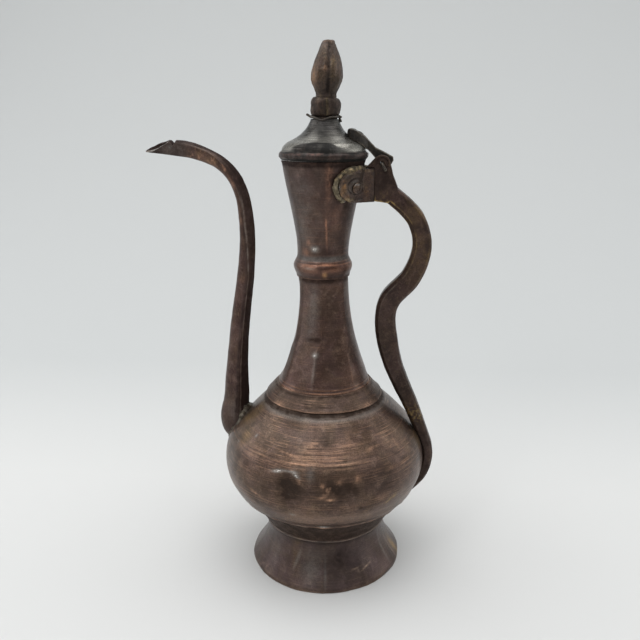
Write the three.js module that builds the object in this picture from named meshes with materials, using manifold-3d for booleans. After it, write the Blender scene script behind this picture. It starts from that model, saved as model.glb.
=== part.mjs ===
// A copper ewer: a belly, a neck and a foot of beaten sheet, a long curved spout, a cast handle,
// and a lid with a turned finial, hinged between two ears at the head of the handle.
// Millimetres, Z up. The foot stands on Z = 0, the handle is on +X and the spout on -X.

import * as THREE from "three";
import { mergeVertices } from "three/addons/utils/BufferGeometryUtils.js";
import Module from "manifold-3d";

const wasm = await Module();
wasm.setup();

// Sheet, clearance and fineness
const wall = 1.6;
const gap = 0.3;
const segments = 36;
const finialSegments = 20;
const rivetSegments = 10;

// Foot
const footRimRadius = 57.4;
const footRimWidth = 2.6;
const footHemHeight = 2.2;
const footWaistRadius = 44.7;
const footWaistHeight = 28;
const footTopRadius = 46.6;
const footHeight = 35.6;

// Belly, from the pan that closes it below to the step under the neck
const panSeatRadius = 46;
const panTopRadius = 61.8;
const panHeight = 22.8;
const bellyLowRadius = 62.3;
const bellyRadius = 74.3;
const bellyRise = 27.1;
const seamRadius = 66.2;
const seamRise = 23.8;
const shoulderRadius = 41.4;
const shoulderHeight = 25.6;
const collarBaseRadius = 43;
const collarTopRadius = 34.8;
const collarHeight = 10.2;

// Neck, with the swaged bead where its two lengths lap
const neckBaseRadius = 33.4;
const neckRadius = 17.6;
const neckHeight = 78.5;
const neckStraight = 7.6;
const lapRadius = 18.5;
const beadRadius = 20.7;
const beadHeight = 15.6;
const throatRadius = 18;
const mouthRadius = 28.1;
const mouthHeight = 64.4;
const lipRadius = 28.9;
const lipHeight = 2.6;

// Lid
const lidWall = 1.4;
const lidRimRadius = 30.6;
const lidRimHeight = 5.4;
const lidShoulderRadius = 25.2;
const lidShoulderRise = 6;
const lidRimRound = 1.2;
const lidTopRadius = 9.8;
const lidHeight = 26.6;
const bezelDepth = 7.6;
const bezelWall = 1.2;
const bezelClearance = 0.7;
const bezelFlange = 1.2;

// Finial, which leans a little towards the handle
const finialLean = THREE.MathUtils.degToRad(3.2);
const pegRadius = 2.5;
const pegHeadRadius = 3.8;
const pegHeadHeight = 1.3;
const roveRadius = 6.2;
const roveHeight = 1.4;
const knobStemRadius = 7.8;
const knobStemHeight = 3.6;
const knobRadius = 10.8;
const knobHeight = 10;
const knobLobes = 5;
const budNeckRadius = 5.4;
const budRadius = 10.5;
const budHeight = 35.6;
const budTipRadius = 4.2;
const tieWireRadius = 0.7;
const tieWireReach = 3;
const tieWireSpread = 1.5;
const knobLobeDepth = 0.16;
const budTipRound = 0.8;

// Hinge
const pivotOutset = 9.4;
const pivotDrop = 2;
const earRadius = 5.7;
const earThickness = 3;
const slotWidth = 6;
const slotDepth = 8.3;
const pinRadius = 1.1;
const pinTail = 5.6;
const pinStandoff = 0.5;
const pinBendReach = 1.4;
const pinTailWay = new THREE.Vector3(0.5, 0, -0.866);
const earBack = THREE.MathUtils.degToRad(135);

// Strap that joins the lid to the hinge
const strapWidth = 5.2;
const strapThickness = 5.2;
const leafWidth = 17;
const leafReach = 14.4;
const heelReach = 7.6;
const strapRivetRadius = 1.5;
const strapRivetSpread = 4.3;
const leafTipRound = 2.4;
const leafTopReach = 5;
const leafTopFall = 0.6;
const leafSink = 2;
const strapNeckReach = 4;
const strapKneeOutset = 4.4;
const strapKneeRise = 4.5;
const strapArchOutset = 5;
const strapArchRise = 4;
const heelLow = 1.4;
const heelHigh = 1.8;

// Saddle that carries the handle on the neck
const saddleThickness = 3.2;
const saddleHeight = 22.2;
const saddleDrop = 3.2;
const saddleWrap = THREE.MathUtils.degToRad(64);
const saddleStem = 5.2;
const saddleRivetRadius = 1.7;
const saddleRivetAngle = THREE.MathUtils.degToRad(39);
const rivetHeadRatio = 2.1;

// Handle
const handleThickness = 13.4;
const handleDepth = 12;
const handleChamfer = 2.6;
const handleHeadWidth = 12.6;
const headBackSwell = 4;
const headToeInset = 3;
const headToeDrop = 1;
const headHeelRise = 1.6;
const tailThickness = 7.4;
const tailTipThickness = 4.2;
const tailDepth = 10;
const tailLength = 51;
const tailRise = 2.6;
const loopReach = 68;
const kneeReach = 44.2;

// Spout
const spoutWall = 1.3;
const spoutRootRadius = 13.6;
const spoutMiddleRadius = 7.4;
const spoutTopRadius = 5.4;
const spoutBendRadius = 4.4;
const spoutTipRadius = 4.7;
const spoutFlatness = 0.86;
const spoutReach = 124;
const spoutBendReach = 55;
const spoutHeight = 211;
const spoutTipSlant = 9;

// Levels at which one piece ends and the next begins
const panBottom = footHeight;
const bellyBottom = panBottom + panHeight;
const seamLevel = bellyBottom + bellyRise + seamRise;
const collarBottom = seamLevel + shoulderHeight;
const neckBottom = collarBottom + collarHeight;
const lapLevel = neckBottom + neckHeight;
const throatLevel = lapLevel + beadHeight;
const mouthLevel = throatLevel + mouthHeight;
const lidBottom = mouthLevel + gap;
const lidTop = lidBottom + lidHeight;
const pivotX = lidRimRadius + pivotOutset;
const pivotZ = mouthLevel - pivotDrop;

const point = (radius, height) => new THREE.Vector2(radius, height);

// A cubic between two points, whose handles are shares of the span between them
function bend(from, to, leave, arrive, count) {
  const span = to.clone().sub(from);
  const first = from.clone().add(span.clone().multiply(point(...leave)));
  const second = from.clone().add(span.clone().multiply(point(...arrive)));
  return new THREE.CubicBezierCurve(from, first, second, to).getPoints(count);
}

// Outlines of the outer faces, from the bottom of each piece to its top
function footOutline() {
  const hemTop = point(footRimRadius, footHemHeight);
  const waist = point(footWaistRadius, footWaistHeight);
  const top = point(footTopRadius, footHeight);
  const flare = bend(hemTop, waist, [0.52, 0.36], [0.97, 0.63], 4);
  const lip = bend(waist, top, [0.05, 0.4], [0.3, 0.8], 2);
  return [point(footRimRadius, 0), ...flare, ...lip.slice(1)];
}

function panOutline() {
  const seat = point(panSeatRadius, panBottom);
  const top = point(panTopRadius, bellyBottom);
  return bend(seat, top, [0.2, 0.25], [0.62, 0.66], 4);
}

function lowerOutline() {
  const bottom = point(bellyLowRadius, bellyBottom);
  const widest = point(bellyRadius, bellyBottom + bellyRise);
  const seam = point(seamRadius, seamLevel);
  const under = bend(bottom, widest, [0.62, 0.325], [1, 0.6], 4);
  const over = bend(widest, seam, [0, 0.36], [0.32, 0.76], 4);
  return [...under, ...over.slice(1)];
}

function shoulderOutline() {
  const seam = point(seamRadius, seamLevel);
  const top = point(shoulderRadius, collarBottom);
  return bend(seam, top, [0.31, 0.36], [0.65, 0.69], 4);
}

function collarOutline() {
  const base = point(collarBaseRadius, collarBottom);
  const top = point(collarTopRadius, neckBottom);
  return bend(base, top, [0.2, 0.28], [0.72, 0.66], 2);
}

function neckOutline() {
  const base = point(neckBaseRadius, neckBottom);
  const straight = point(neckRadius, lapLevel - neckStraight);
  const flare = bend(base, straight, [0.373, 0.196], [0.981, 0.549], 6);
  return [...flare, point(neckRadius, lapLevel)];
}

function mouthOutline() {
  const lap = point(lapRadius, lapLevel);
  const crest = point(beadRadius, lapLevel + beadHeight * 0.5);
  const throat = point(throatRadius, throatLevel);
  const mouth = point(mouthRadius, mouthLevel - lipHeight);
  const swell = bend(lap, crest, [0.1, 0.3], [1, 0.6], 2);
  const fall = bend(crest, throat, [0, 0.35], [1, 0.55], 2);
  const flare = bend(throat, mouth, [-0.02, 0.26], [0.72, 0.69], 5);
  return [...swell, ...fall.slice(1), ...flare.slice(1), point(lipRadius, mouthLevel)];
}

function lidOutline() {
  const rimTop = point(lidRimRadius - lidRimRound, lidBottom + lidRimHeight);
  const shoulder = point(lidShoulderRadius, lidBottom + lidRimHeight + lidShoulderRise);
  const top = point(lidTopRadius, lidTop);
  const swell = bend(rimTop, shoulder, [0.1, 0.45], [0.6, 0.8], 3);
  const sweep = bend(shoulder, top, [0.45, 0.2], [0.86, 0.5], 4);
  const band = point(lidRimRadius, lidBottom + lidRimHeight * 0.8);
  return [point(lidRimRadius, lidBottom), band, ...swell, ...sweep.slice(1)];
}

// The outline moved straight in, or out, by a thickness measured square to it
function offsetOutline(outline, thickness) {
  const steepest = 2;
  return outline.map((here, i) => {
    const before = outline[Math.max(i - 1, 0)];
    const after = outline[Math.min(i + 1, outline.length - 1)];
    const rise = Math.max(Math.abs(after.y - before.y), 1e-6);
    const stretch = Math.min(before.distanceTo(after) / rise, steepest);
    return point(here.x + thickness * stretch, here.y);
  });
}

// A body turned about Z. Its profile runs up outside and down inside, or ends on the axis.
function turned(profile, count = segments) {
  const onAxis = profile[0].x === 0;
  const loop = onAxis ? profile : [...profile, profile[0].clone()];
  return new THREE.LatheGeometry(loop, count).rotateX(Math.PI / 2);
}

function turnedShell(outline, thickness) {
  const inside = offsetOutline(outline, -thickness).reverse();
  return turned([...outline, ...inside]);
}

function turnedSolid(outline, count) {
  const low = point(0, outline[0].y);
  const high = point(0, outline[outline.length - 1].y);
  return turned([low, ...outline, high], count);
}

// Joining and cutting
function toSolid(geometry) {
  const bare = geometry.clone();
  bare.deleteAttribute("normal");
  bare.deleteAttribute("uv");
  const merged = mergeVertices(bare, 1e-4);
  const index = merged.index.array;
  const kept = [];
  for (let i = 0; i < index.length; i += 3) {
    const [a, b, c] = [index[i], index[i + 1], index[i + 2]];
    if (a !== b && b !== c && c !== a) kept.push(a, b, c);
  }
  const mesh = new wasm.Mesh({
    numProp: 3,
    vertProperties: new Float32Array(merged.attributes.position.array),
    triVerts: new Uint32Array(kept),
  });
  return new wasm.Manifold(mesh);
}

function toGeometry(solid) {
  const mesh = solid.getMesh();
  const geometry = new THREE.BufferGeometry();
  geometry.setAttribute("position", new THREE.BufferAttribute(mesh.vertProperties, 3));
  geometry.setIndex(new THREE.BufferAttribute(mesh.triVerts, 1));
  return geometry;
}

const joined = (first, ...others) =>
  toGeometry(others.reduce((solid, other) => solid.add(toSolid(other)), toSolid(first)));
const cutBy = (first, ...others) =>
  toGeometry(others.reduce((solid, other) => solid.subtract(toSolid(other)), toSolid(first)));
const common = (first, ...others) =>
  toGeometry(others.reduce((solid, other) => solid.intersect(toSolid(other)), toSolid(first)));

// A skin over rings of points. The rings run on in order and either close up or end in caps.
function skin(rings, closed) {
  const size = rings[0].length;
  const positions = rings.flat().flatMap((corner) => corner.toArray());
  const index = [];
  const last = closed ? rings.length : rings.length - 1;
  for (let i = 0; i < last; i += 1) {
    const here = i * size;
    const next = ((i + 1) % rings.length) * size;
    for (let j = 0; j < size; j += 1) {
      const k = (j + 1) % size;
      index.push(here + j, here + k, next + j);
      index.push(here + k, next + k, next + j);
    }
  }
  if (!closed) {
    const end = (rings.length - 1) * size;
    for (let j = 1; j < size - 1; j += 1) {
      index.push(0, j + 1, j);
      index.push(end, end + j, end + j + 1);
    }
  }
  const geometry = new THREE.BufferGeometry();
  geometry.setAttribute("position", new THREE.Float32BufferAttribute(positions, 3));
  geometry.setIndex(index);
  return geometry;
}

// Rings square to a path in the XZ plane. section(share) lists [across, along Y] pairs.
function ringsAlong(path, count, section, slant = 0) {
  const rings = [];
  for (let i = 0; i <= count; i += 1) {
    const share = i / count;
    const centre = path.getPointAt(share);
    const along = path.getTangentAt(share);
    const across = new THREE.Vector3(along.z, 0, -along.x);
    const corners = section(share);
    const reach = Math.max(...corners.map(([out]) => Math.abs(out)));
    const ring = corners.map(([out, side]) => {
      const corner = centre.clone().addScaledVector(across, out);
      corner.y += side;
      if (i === count) corner.addScaledVector(along, -slant * (out + reach) / (2 * reach));
      return corner;
    });
    rings.push(ring);
  }
  return rings;
}

const pathThrough = (stations) =>
  new THREE.CatmullRomCurve3(stations.map(([x, z]) => new THREE.Vector3(x, 0, z)));

// A size that eases between values given at shares of the way along a path
function blendAt(share, stops) {
  const next = Math.max(stops.findIndex(([at]) => at >= share), 1);
  const [[fromAt, from], [toAt, to]] = [stops[next - 1], stops[next]];
  return THREE.MathUtils.lerp(from, to, (share - fromAt) / (toAt - fromAt));
}

// Straight prisms of a drawn shape
function prismAlongY(shape, width) {
  const prism = new THREE.ExtrudeGeometry(shape, { depth: width, bevelEnabled: false, curveSegments: 8 });
  return prism.rotateX(Math.PI / 2).translate(0, width / 2, 0);
}

function prismAlongZ(shape, bottom, height) {
  const prism = new THREE.ExtrudeGeometry(shape, { depth: height, bevelEnabled: false, curveSegments: 8 });
  return prism.translate(0, 0, bottom);
}

function barAlongY(radius, width, x, z) {
  return new THREE.CylinderGeometry(radius, radius, width, 16).translate(x, 0, z);
}

// A round tube of wire along a path
function wire(points, radius, steps) {
  const path = new THREE.CatmullRomCurve3(points);
  const section = new THREE.Shape().absarc(0, 0, radius, 0, 2 * Math.PI);
  return new THREE.ExtrudeGeometry(section, { steps, extrudePath: path, curveSegments: 4 });
}

// The whole vessel as one filled body, grown by the clearance, for seating what stands on it
const vesselOutline = [
  ...panOutline(),
  ...lowerOutline(),
  ...shoulderOutline(),
  ...collarOutline(),
  ...neckOutline(),
  ...mouthOutline(),
];
const vesselCutter = turnedSolid(offsetOutline(vesselOutline, gap));

function radiusAt(height) {
  const above = vesselOutline.findIndex((here) => here.y > height);
  const [low, high] = [vesselOutline[above - 1], vesselOutline[above]];
  return THREE.MathUtils.mapLinear(height, low.y, high.y, low.x, high.x);
}

// Foot and pan
function footSkirt() {
  const outline = footOutline();
  const inside = offsetOutline(outline, -wall);
  inside[0].x = footRimRadius - footRimWidth;
  inside[1].x = footRimRadius - footRimWidth;
  return turned([...outline, ...inside.reverse()]);
}

function basePan() {
  const outline = panOutline();
  const inside = offsetOutline(outline, -wall).reverse();
  const floor = inside.filter((here) => here.y > panBottom + wall);
  const edge = point(radiusAt(panBottom + wall) - 2 * wall, panBottom + wall);
  return turned([point(0, panBottom), ...outline, ...floor, edge, point(0, panBottom + wall)]);
}

// Spout
function spoutPath() {
  const rise = (share) => collarBottom - shoulderHeight + spoutHeight * share;
  const root = radiusAt(rise(0));
  const stations = [
    [root - 1.2 * spoutRootRadius, rise(-0.075)],
    [root + 0.6, rise(-0.002)],
    [root + 0.6, rise(0.115)],
    [root - 2.2, rise(0.29)],
    [spoutBendReach + 1, rise(0.58)],
    [spoutBendReach, rise(0.7)],
    [spoutBendReach + 2.6, rise(0.808)],
    [spoutBendReach + 8.8, rise(0.872)],
    [spoutBendReach + 19, rise(0.916)],
    [spoutBendReach + 36, rise(0.947)],
    [spoutReach, rise(0.962)],
  ];
  return pathThrough(stations.map(([x, z]) => [-x, z]));
}

// The section is round away from the neck and has a low ridged roof towards it
function spoutSection(share, thickness) {
  const half = blendAt(share, [
    [0, spoutRootRadius],
    [0.08, spoutRootRadius],
    [0.14, spoutRootRadius * 0.71],
    [0.3, spoutMiddleRadius],
    [0.6, spoutTopRadius],
    [0.76, spoutBendRadius],
    [1, spoutTipRadius],
  ]) - thickness;
  const side = half * spoutFlatness;
  const crease = 0.25;
  const corners = [];
  const arcSteps = 8;
  for (let i = 0; i <= arcSteps; i += 1) {
    const turn = Math.PI * (0.5 + i / arcSteps);
    corners.push([half * (crease + (1 + crease) * Math.cos(turn)), side * Math.sin(turn)]);
  }
  corners.push([half * 0.72, -side * 0.46], [half, 0], [half * 0.72, side * 0.46]);
  return corners;
}

function spoutTube() {
  const steps = 26;
  const path = spoutPath();
  const outside = ringsAlong(path, steps, (share) => spoutSection(share, 0), spoutTipSlant);
  const inside = ringsAlong(path, steps, (share) => spoutSection(share, spoutWall), spoutTipSlant);
  return cutBy(skin([...outside, ...inside.reverse()], true), vesselCutter);
}

// What the spout's bore takes out of the belly behind it
function spoutBore() {
  const rings = ringsAlong(spoutPath(), 26, (share) => spoutSection(share, spoutWall + 2 * gap));
  return skin(rings.slice(0, 5), false);
}

// Head of the handle, seen from the side: a block with ears round the pivot
const headPlane = pivotX - saddleStem;
const headBottom = pivotZ - saddleDrop - saddleHeight;

function headShape() {
  const shape = new THREE.Shape();
  const saddleTop = pivotZ - saddleDrop + gap;
  const back = headPlane + handleHeadWidth;
  const lean = point(pivotX + earRadius * Math.cos(earBack), pivotZ + earRadius * Math.sin(earBack));
  shape.moveTo(headPlane + gap, headBottom + headHeelRise);
  shape.lineTo(headPlane + gap, saddleTop);
  shape.lineTo(lean.x - (lean.y - saddleTop), saddleTop);
  shape.lineTo(lean.x, lean.y);
  shape.absarc(pivotX, pivotZ, earRadius, earBack, 0, true);
  shape.lineTo(back + gap, pivotZ - slotDepth);
  shape.lineTo(back + headBackSwell * 0.85, headBottom + saddleHeight * 0.42);
  shape.lineTo(back + headBackSwell, headBottom + saddleHeight * 0.2);
  shape.lineTo(back - headToeInset, headBottom - headToeDrop);
  return shape;
}

// The route of the bar: how far out, and how far up between the belly and the hinge
function handlePath() {
  const tailTop = seamLevel - tailRise;
  const rise = (share) => THREE.MathUtils.lerp(tailTop, pivotZ, share);
  const bar = [
    [headPlane + handleHeadWidth - headToeInset, rise(0.905)],
    [loopReach - 10.4, rise(0.844)],
    [loopReach - 3.6, rise(0.797)],
    [loopReach, rise(0.71)],
    [loopReach - 7, rise(0.602)],
    [kneeReach + 3, rise(0.512)],
    [kneeReach, rise(0.44)],
    [kneeReach + 5.4, rise(0.277)],
    [kneeReach + 21.4, rise(0.086)],
  ];
  const tail = [0, 0.33, 0.67, 1].map((share) => {
    const height = tailTop - tailLength * share;
    const lift = THREE.MathUtils.lerp(tailThickness, tailTipThickness, share) * 0.46;
    return [radiusAt(height) + lift + 1.4 * (1 - share), height];
  });
  return pathThrough([...bar, ...tail]);
}

function handleSection(share) {
  const half = blendAt(share, [
    [0, handleThickness * 0.47],
    [0.45, handleThickness * 0.5],
    [0.62, handleThickness * 0.4],
    [0.75, tailThickness * 0.58],
    [0.9, tailThickness * 0.5],
    [1, tailTipThickness * 0.5],
  ]);
  const depth = blendAt(share, [[0, handleDepth / 2], [0.6, handleDepth / 2], [1, tailDepth / 2]]);
  const inner = Math.min(handleChamfer, half * 0.6);
  const outer = inner * 0.6;
  return [
    [half, depth - inner],
    [half - inner, depth],
    [outer - half, depth],
    [-half, depth - outer],
    [-half, outer - depth],
    [outer - half, -depth],
    [half - inner, -depth],
    [half, inner - depth],
  ];
}

function handleCasting() {
  const bar = skin(ringsAlong(handlePath(), 42, handleSection), false);
  const head = prismAlongY(headShape(), slotWidth + 2 * earThickness);
  const slotReach = 4 * earRadius;
  const slot = new THREE.BoxGeometry(slotReach, slotWidth, slotDepth + 2 * earRadius);
  slot.translate(pivotX, 0, pivotZ - slotDepth + (slotDepth + 2 * earRadius) / 2);
  const bore = barAlongY(pinRadius + gap, 2 * handleDepth, pivotX, pivotZ);
  return cutBy(joined(head, bar), slot, bore, vesselCutter);
}

// Saddle: a band round the neck with rounded ends, and a stem out to the head of the handle
function saddleBand() {
  const bottom = headBottom;
  const top = headBottom + saddleHeight;
  const levels = [0, 0.5, 1].map((share) => THREE.MathUtils.lerp(bottom, top, share));
  const seat = levels.map((level) => point(radiusAt(level), level));
  const face = offsetOutline(seat, saddleThickness + gap);
  return turned([...face, ...offsetOutline(seat, gap).reverse()]);
}

function saddleSide() {
  const end = (radiusAt(headBottom + saddleHeight / 2) + saddleThickness) * Math.cos(saddleWrap);
  const round = saddleHeight / 2;
  const shape = new THREE.Shape();
  shape.moveTo(headPlane, headBottom);
  shape.lineTo(headPlane, headBottom + saddleHeight);
  shape.lineTo(end + round, headBottom + saddleHeight);
  shape.absarc(end + round, headBottom + round, round, Math.PI / 2, 1.5 * Math.PI, false);
  return prismAlongY(shape, 4 * lipRadius);
}

function saddleStemBlock() {
  const half = slotWidth / 2 + earThickness;
  const spread = radiusAt(headBottom) * 0.72;
  const root = radiusAt(headBottom) * 0.78;
  const shape = new THREE.Shape();
  shape.moveTo(headPlane, -half);
  shape.lineTo(headPlane, half);
  shape.quadraticCurveTo(headPlane - saddleStem * 0.7, half, root, spread);
  shape.lineTo(root, -spread);
  shape.quadraticCurveTo(headPlane - saddleStem * 0.7, -half, headPlane, -half);
  return prismAlongZ(shape, headBottom, saddleHeight);
}

function neckSaddle() {
  const whole = joined(saddleBand(), saddleStemBlock());
  return cutBy(common(whole, saddleSide()), vesselCutter, ...[-1, 1].map(saddleRivetHole));
}

// Rivets stand square to the surface that they hold. With a clearance, the space for one is made.
function rivetBody(radius, grip, clearance = 0) {
  const head = radius * rivetHeadRatio;
  const shank = radius + clearance;
  const tail = head * 0.8;
  if (clearance) {
    return turnedSolid([
      point(tail + clearance, -grip),
      point(tail + clearance, 0),
      point(shank, 0),
      point(shank, grip - clearance),
      point(head + clearance, grip - clearance),
      point(head + clearance, 2 * grip),
    ], rivetSegments);
  }
  const dome = bend(point(head, grip), point(0, grip + radius), [0, 0.6], [0.5, 1], 4);
  const profile = [
    point(0, -gap - radius * 0.7),
    point(tail * 0.7, -gap - radius * 0.7),
    point(tail, -gap),
    point(shank, -gap),
    point(shank, grip),
    ...dome.slice(0, -1),
    point(0, grip + radius),
  ];
  return turned(profile, rivetSegments);
}

function placeRivet(geometry, seat, outward) {
  const turn = new THREE.Quaternion().setFromUnitVectors(new THREE.Vector3(0, 0, 1), outward);
  return geometry.applyQuaternion(turn).translate(seat.x, seat.y, seat.z);
}

function saddleRivetPlace(side) {
  const level = headBottom + saddleHeight / 2;
  const slope = Math.atan((radiusAt(level + 2) - radiusAt(level - 2)) / 4);
  const turn = side * saddleRivetAngle;
  const outward = new THREE.Vector3(
    Math.cos(turn) * Math.cos(slope),
    Math.sin(turn) * Math.cos(slope),
    -Math.sin(slope),
  );
  const inner = radiusAt(level) - wall / Math.cos(slope);
  const seat = new THREE.Vector3(Math.cos(turn) * inner, Math.sin(turn) * inner, level);
  return [seat.addScaledVector(outward, -gap), outward];
}

const saddleGrip = wall + saddleThickness + 3 * gap;
const saddleRivet = (side) =>
  placeRivet(rivetBody(saddleRivetRadius, saddleGrip), ...saddleRivetPlace(side));
const saddleRivetHole = (side) =>
  placeRivet(rivetBody(saddleRivetRadius, saddleGrip, gap), ...saddleRivetPlace(side));

// Lid
function lidSlopeAt(radius) {
  const outline = lidOutline();
  const inside = outline.findIndex((here, i) => i > 2 && here.x < radius);
  const [low, high] = [outline[inside - 1], outline[inside]];
  const height = THREE.MathUtils.mapLinear(radius, low.x, high.x, low.y, high.y);
  const fall = Math.atan2(high.y - low.y, low.x - high.x);
  return { height, outward: new THREE.Vector3(Math.sin(fall), 0, Math.cos(fall)) };
}

function lidDome() {
  const outline = lidOutline();
  const inside = offsetOutline(outline, -lidWall).filter((here) => here.y < lidTop - lidWall);
  inside[0].x = inside[1].x;
  const crown = point(pegRadius + 2 * gap, lidTop);
  const under = point(pegRadius + 2 * gap, lidTop - lidWall);
  const edge = point(inside[inside.length - 1].x - lidWall, lidTop - lidWall);
  const shell = turned([...outline, crown, under, edge, ...inside.reverse()]);
  return cutBy(shell, ...[-1, 1].map(strapRivetHole));
}

function lidBezel() {
  const mouthInside = radiusAt(mouthLevel - bezelDepth) - wall;
  const outer = mouthInside - bezelClearance;
  const inner = outer - bezelWall;
  const flange = lidRimRadius - lidWall * 1.2 - gap;
  return turned([
    point(outer, mouthLevel - bezelDepth),
    point(outer, lidBottom),
    point(flange, lidBottom),
    point(flange, lidBottom + bezelFlange),
    point(inner, lidBottom + bezelFlange),
    point(inner, mouthLevel - bezelDepth),
  ]);
}

// Strap, seen from the side: a leaf on the slope of the lid, a waist, and a heel round the pin
const leafEnd = lidRimRadius - leafReach;

function strapSide() {
  const leafTop = lidSlopeAt(leafEnd + leafSink).height + strapThickness;
  const leafFoot = lidSlopeAt(lidShoulderRadius).height;
  const heel = pivotX + heelReach;
  const shape = new THREE.Shape();
  shape.moveTo(leafEnd, leafTop - strapThickness * 0.6);
  shape.quadraticCurveTo(leafEnd, leafTop, leafEnd + leafTipRound, leafTop);
  shape.lineTo(leafEnd + leafTopReach, leafTop - leafTopFall);
  shape.lineTo(lidShoulderRadius + strapThickness * 0.5, leafFoot + strapThickness * 0.85);
  shape.lineTo(pivotX - strapKneeOutset, pivotZ + earRadius + strapKneeRise);
  shape.lineTo(pivotX + heelReach * 0.6, pivotZ + earRadius);
  shape.quadraticCurveTo(heel, pivotZ + earRadius * 0.8, heel, pivotZ + heelHigh);
  shape.lineTo(pivotX + heelReach * 0.76, pivotZ - heelLow);
  shape.absarc(pivotX, pivotZ, strapThickness * 0.72, -0.3, -Math.PI, true);
  shape.lineTo(pivotX - strapArchOutset, pivotZ + strapArchRise);
  shape.lineTo(lidRimRadius - lidRimRound / 3, lidBottom + lidRimHeight + lidRimRound);
  shape.lineTo(lidShoulderRadius, leafFoot - leafSink);
  shape.lineTo(leafEnd + leafSink / 2, leafFoot);
  return shape;
}

// Strap, seen from above
function strapPlan() {
  const half = strapWidth / 2;
  const leafHalf = leafWidth / 2;
  const middle = leafEnd + leafHalf * 0.8;
  const waist = lidRimRadius;
  const shape = new THREE.Shape();
  shape.moveTo(leafEnd, 0);
  shape.quadraticCurveTo(leafEnd, leafHalf, middle, leafHalf);
  shape.quadraticCurveTo(waist - strapNeckReach, leafHalf, waist, half);
  shape.lineTo(pivotX + 2 * heelReach, half);
  shape.lineTo(pivotX + 2 * heelReach, -half);
  shape.lineTo(waist, -half);
  shape.quadraticCurveTo(waist - strapNeckReach, -leafHalf, middle, -leafHalf);
  shape.quadraticCurveTo(leafEnd, -leafHalf, leafEnd, 0);
  return shape;
}

function lidStrap() {
  const side = prismAlongY(strapSide(), 2 * leafWidth);
  const plan = prismAlongZ(strapPlan(), pivotZ - 2 * earRadius, lidHeight + 4 * earRadius);
  const lidCutter = turnedSolid(offsetOutline(lidOutline(), gap));
  const bore = barAlongY(pinRadius + gap, 2 * leafWidth, pivotX, pivotZ);
  return cutBy(common(side, plan), lidCutter, bore, ...[-1, 1].map(strapRivetHole));
}

const strapGrip = lidWall + strapThickness * 0.86 + 3 * gap;

function strapRivetPlace(side) {
  const along = leafEnd + leafReach * 0.42;
  const { height, outward } = lidSlopeAt(Math.hypot(along, strapRivetSpread));
  const turn = Math.atan2(side * strapRivetSpread, along);
  outward.applyAxisAngle(new THREE.Vector3(0, 0, 1), turn);
  const seat = new THREE.Vector3(along, side * strapRivetSpread, height);
  return [seat.addScaledVector(outward, -lidWall - 2 * gap), outward];
}

const strapRivet = (side) =>
  placeRivet(rivetBody(strapRivetRadius, strapGrip), ...strapRivetPlace(side));
const strapRivetHole = (side) =>
  placeRivet(rivetBody(strapRivetRadius, strapGrip, gap), ...strapRivetPlace(side));

// Finial. Its pieces lean by sliding each level sideways, so that their seats stay level.
function leaned(geometry) {
  const slide = Math.tan(finialLean);
  const lean = new THREE.Matrix4().set(1, 0, slide, -slide * lidTop, 0, 1, 0, 0, 0, 0, 1, 0, 0, 0, 0, 1);
  return geometry.applyMatrix4(lean);
}

const knobBottom = lidTop + gap;
const budBottom = knobBottom + knobHeight + knobStemHeight;

function finialKnob() {
  const bodyBottom = knobBottom + knobStemHeight;
  const waist = knobRadius * 0.72;
  const bulge = [0.15, 0.38, 0.62, 0.85].map((share) => {
    const out = Math.sqrt(Math.sin(Math.PI * share));
    return point(waist + (knobRadius - waist) * out, bodyBottom + knobHeight * share);
  });
  const profile = [
    point(knobStemRadius, knobBottom),
    point(knobStemRadius, bodyBottom),
    ...bulge,
    point(waist, budBottom),
    point(pegRadius + gap, budBottom),
    point(pegRadius + gap, knobBottom),
  ];
  const knob = turned(profile, knobLobes * 6);
  const place = knob.attributes.position;
  for (let i = 0; i < place.count; i += 1) {
    const [x, y] = [place.getX(i), place.getY(i)];
    const lobe = 0.5 - 0.5 * Math.cos(knobLobes * Math.atan2(y, x));
    const out = Math.max(Math.hypot(x, y) - waist, 0) / (knobRadius - waist);
    const shrink = 1 - knobLobeDepth * lobe * Math.min(out, 1);
    place.setXY(i, x * shrink, y * shrink);
  }
  return leaned(knob);
}

function finialBud() {
  const top = budBottom + budHeight;
  const widest = point(budRadius, budBottom + budHeight * 0.38);
  const neck = point(budNeckRadius, budBottom + gap);
  const tip = point(budTipRadius, top - budTipRound);
  const swell = bend(neck, widest, [0.35, 0.02], [1, 0.5], 5);
  const taper = bend(widest, tip, [0, 0.36], [0.62, 0.7], 5);
  const peened = lidTop - lidWall - roveHeight - 3 * gap;
  return leaned(turned([
    point(0, peened - pegHeadHeight),
    point(pegHeadRadius, peened - pegHeadHeight),
    point(pegHeadRadius, peened),
    point(pegRadius, peened),
    point(pegRadius, budBottom + gap),
    ...swell,
    ...taper.slice(1),
    point(0, top),
  ], finialSegments));
}

function finialRove() {
  const top = lidTop - lidWall - gap;
  return leaned(turned([
    point(roveRadius, top - roveHeight),
    point(roveRadius, top),
    point(pegRadius + gap, top),
    point(pegRadius + gap, top - roveHeight),
  ], finialSegments));
}

// A tie of iron wire round the stem of the knob, with its two ends left standing out
function finialWire() {
  const round = knobStemRadius + tieWireRadius + 2 * gap;
  const level = knobBottom + knobStemHeight * 0.5;
  const pitch = 2 * tieWireRadius + gap;
  const steps = 14;
  const [start, sweep] = [1.08 * Math.PI, 1.84 * Math.PI];
  const points = [];
  points.push(new THREE.Vector3(-round - tieWireReach, -tieWireSpread, level + pitch));
  for (let i = 0; i <= steps; i += 1) {
    const angle = start + (sweep * i) / steps;
    const climb = pitch * (0.5 - i / steps);
    points.push(new THREE.Vector3(round * Math.cos(angle), round * Math.sin(angle), level + climb));
  }
  points.push(new THREE.Vector3(-round - tieWireReach * 0.6, tieWireSpread * 1.2, level - pitch * 0.6));
  return leaned(wire(points, tieWireRadius, 30));
}

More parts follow.
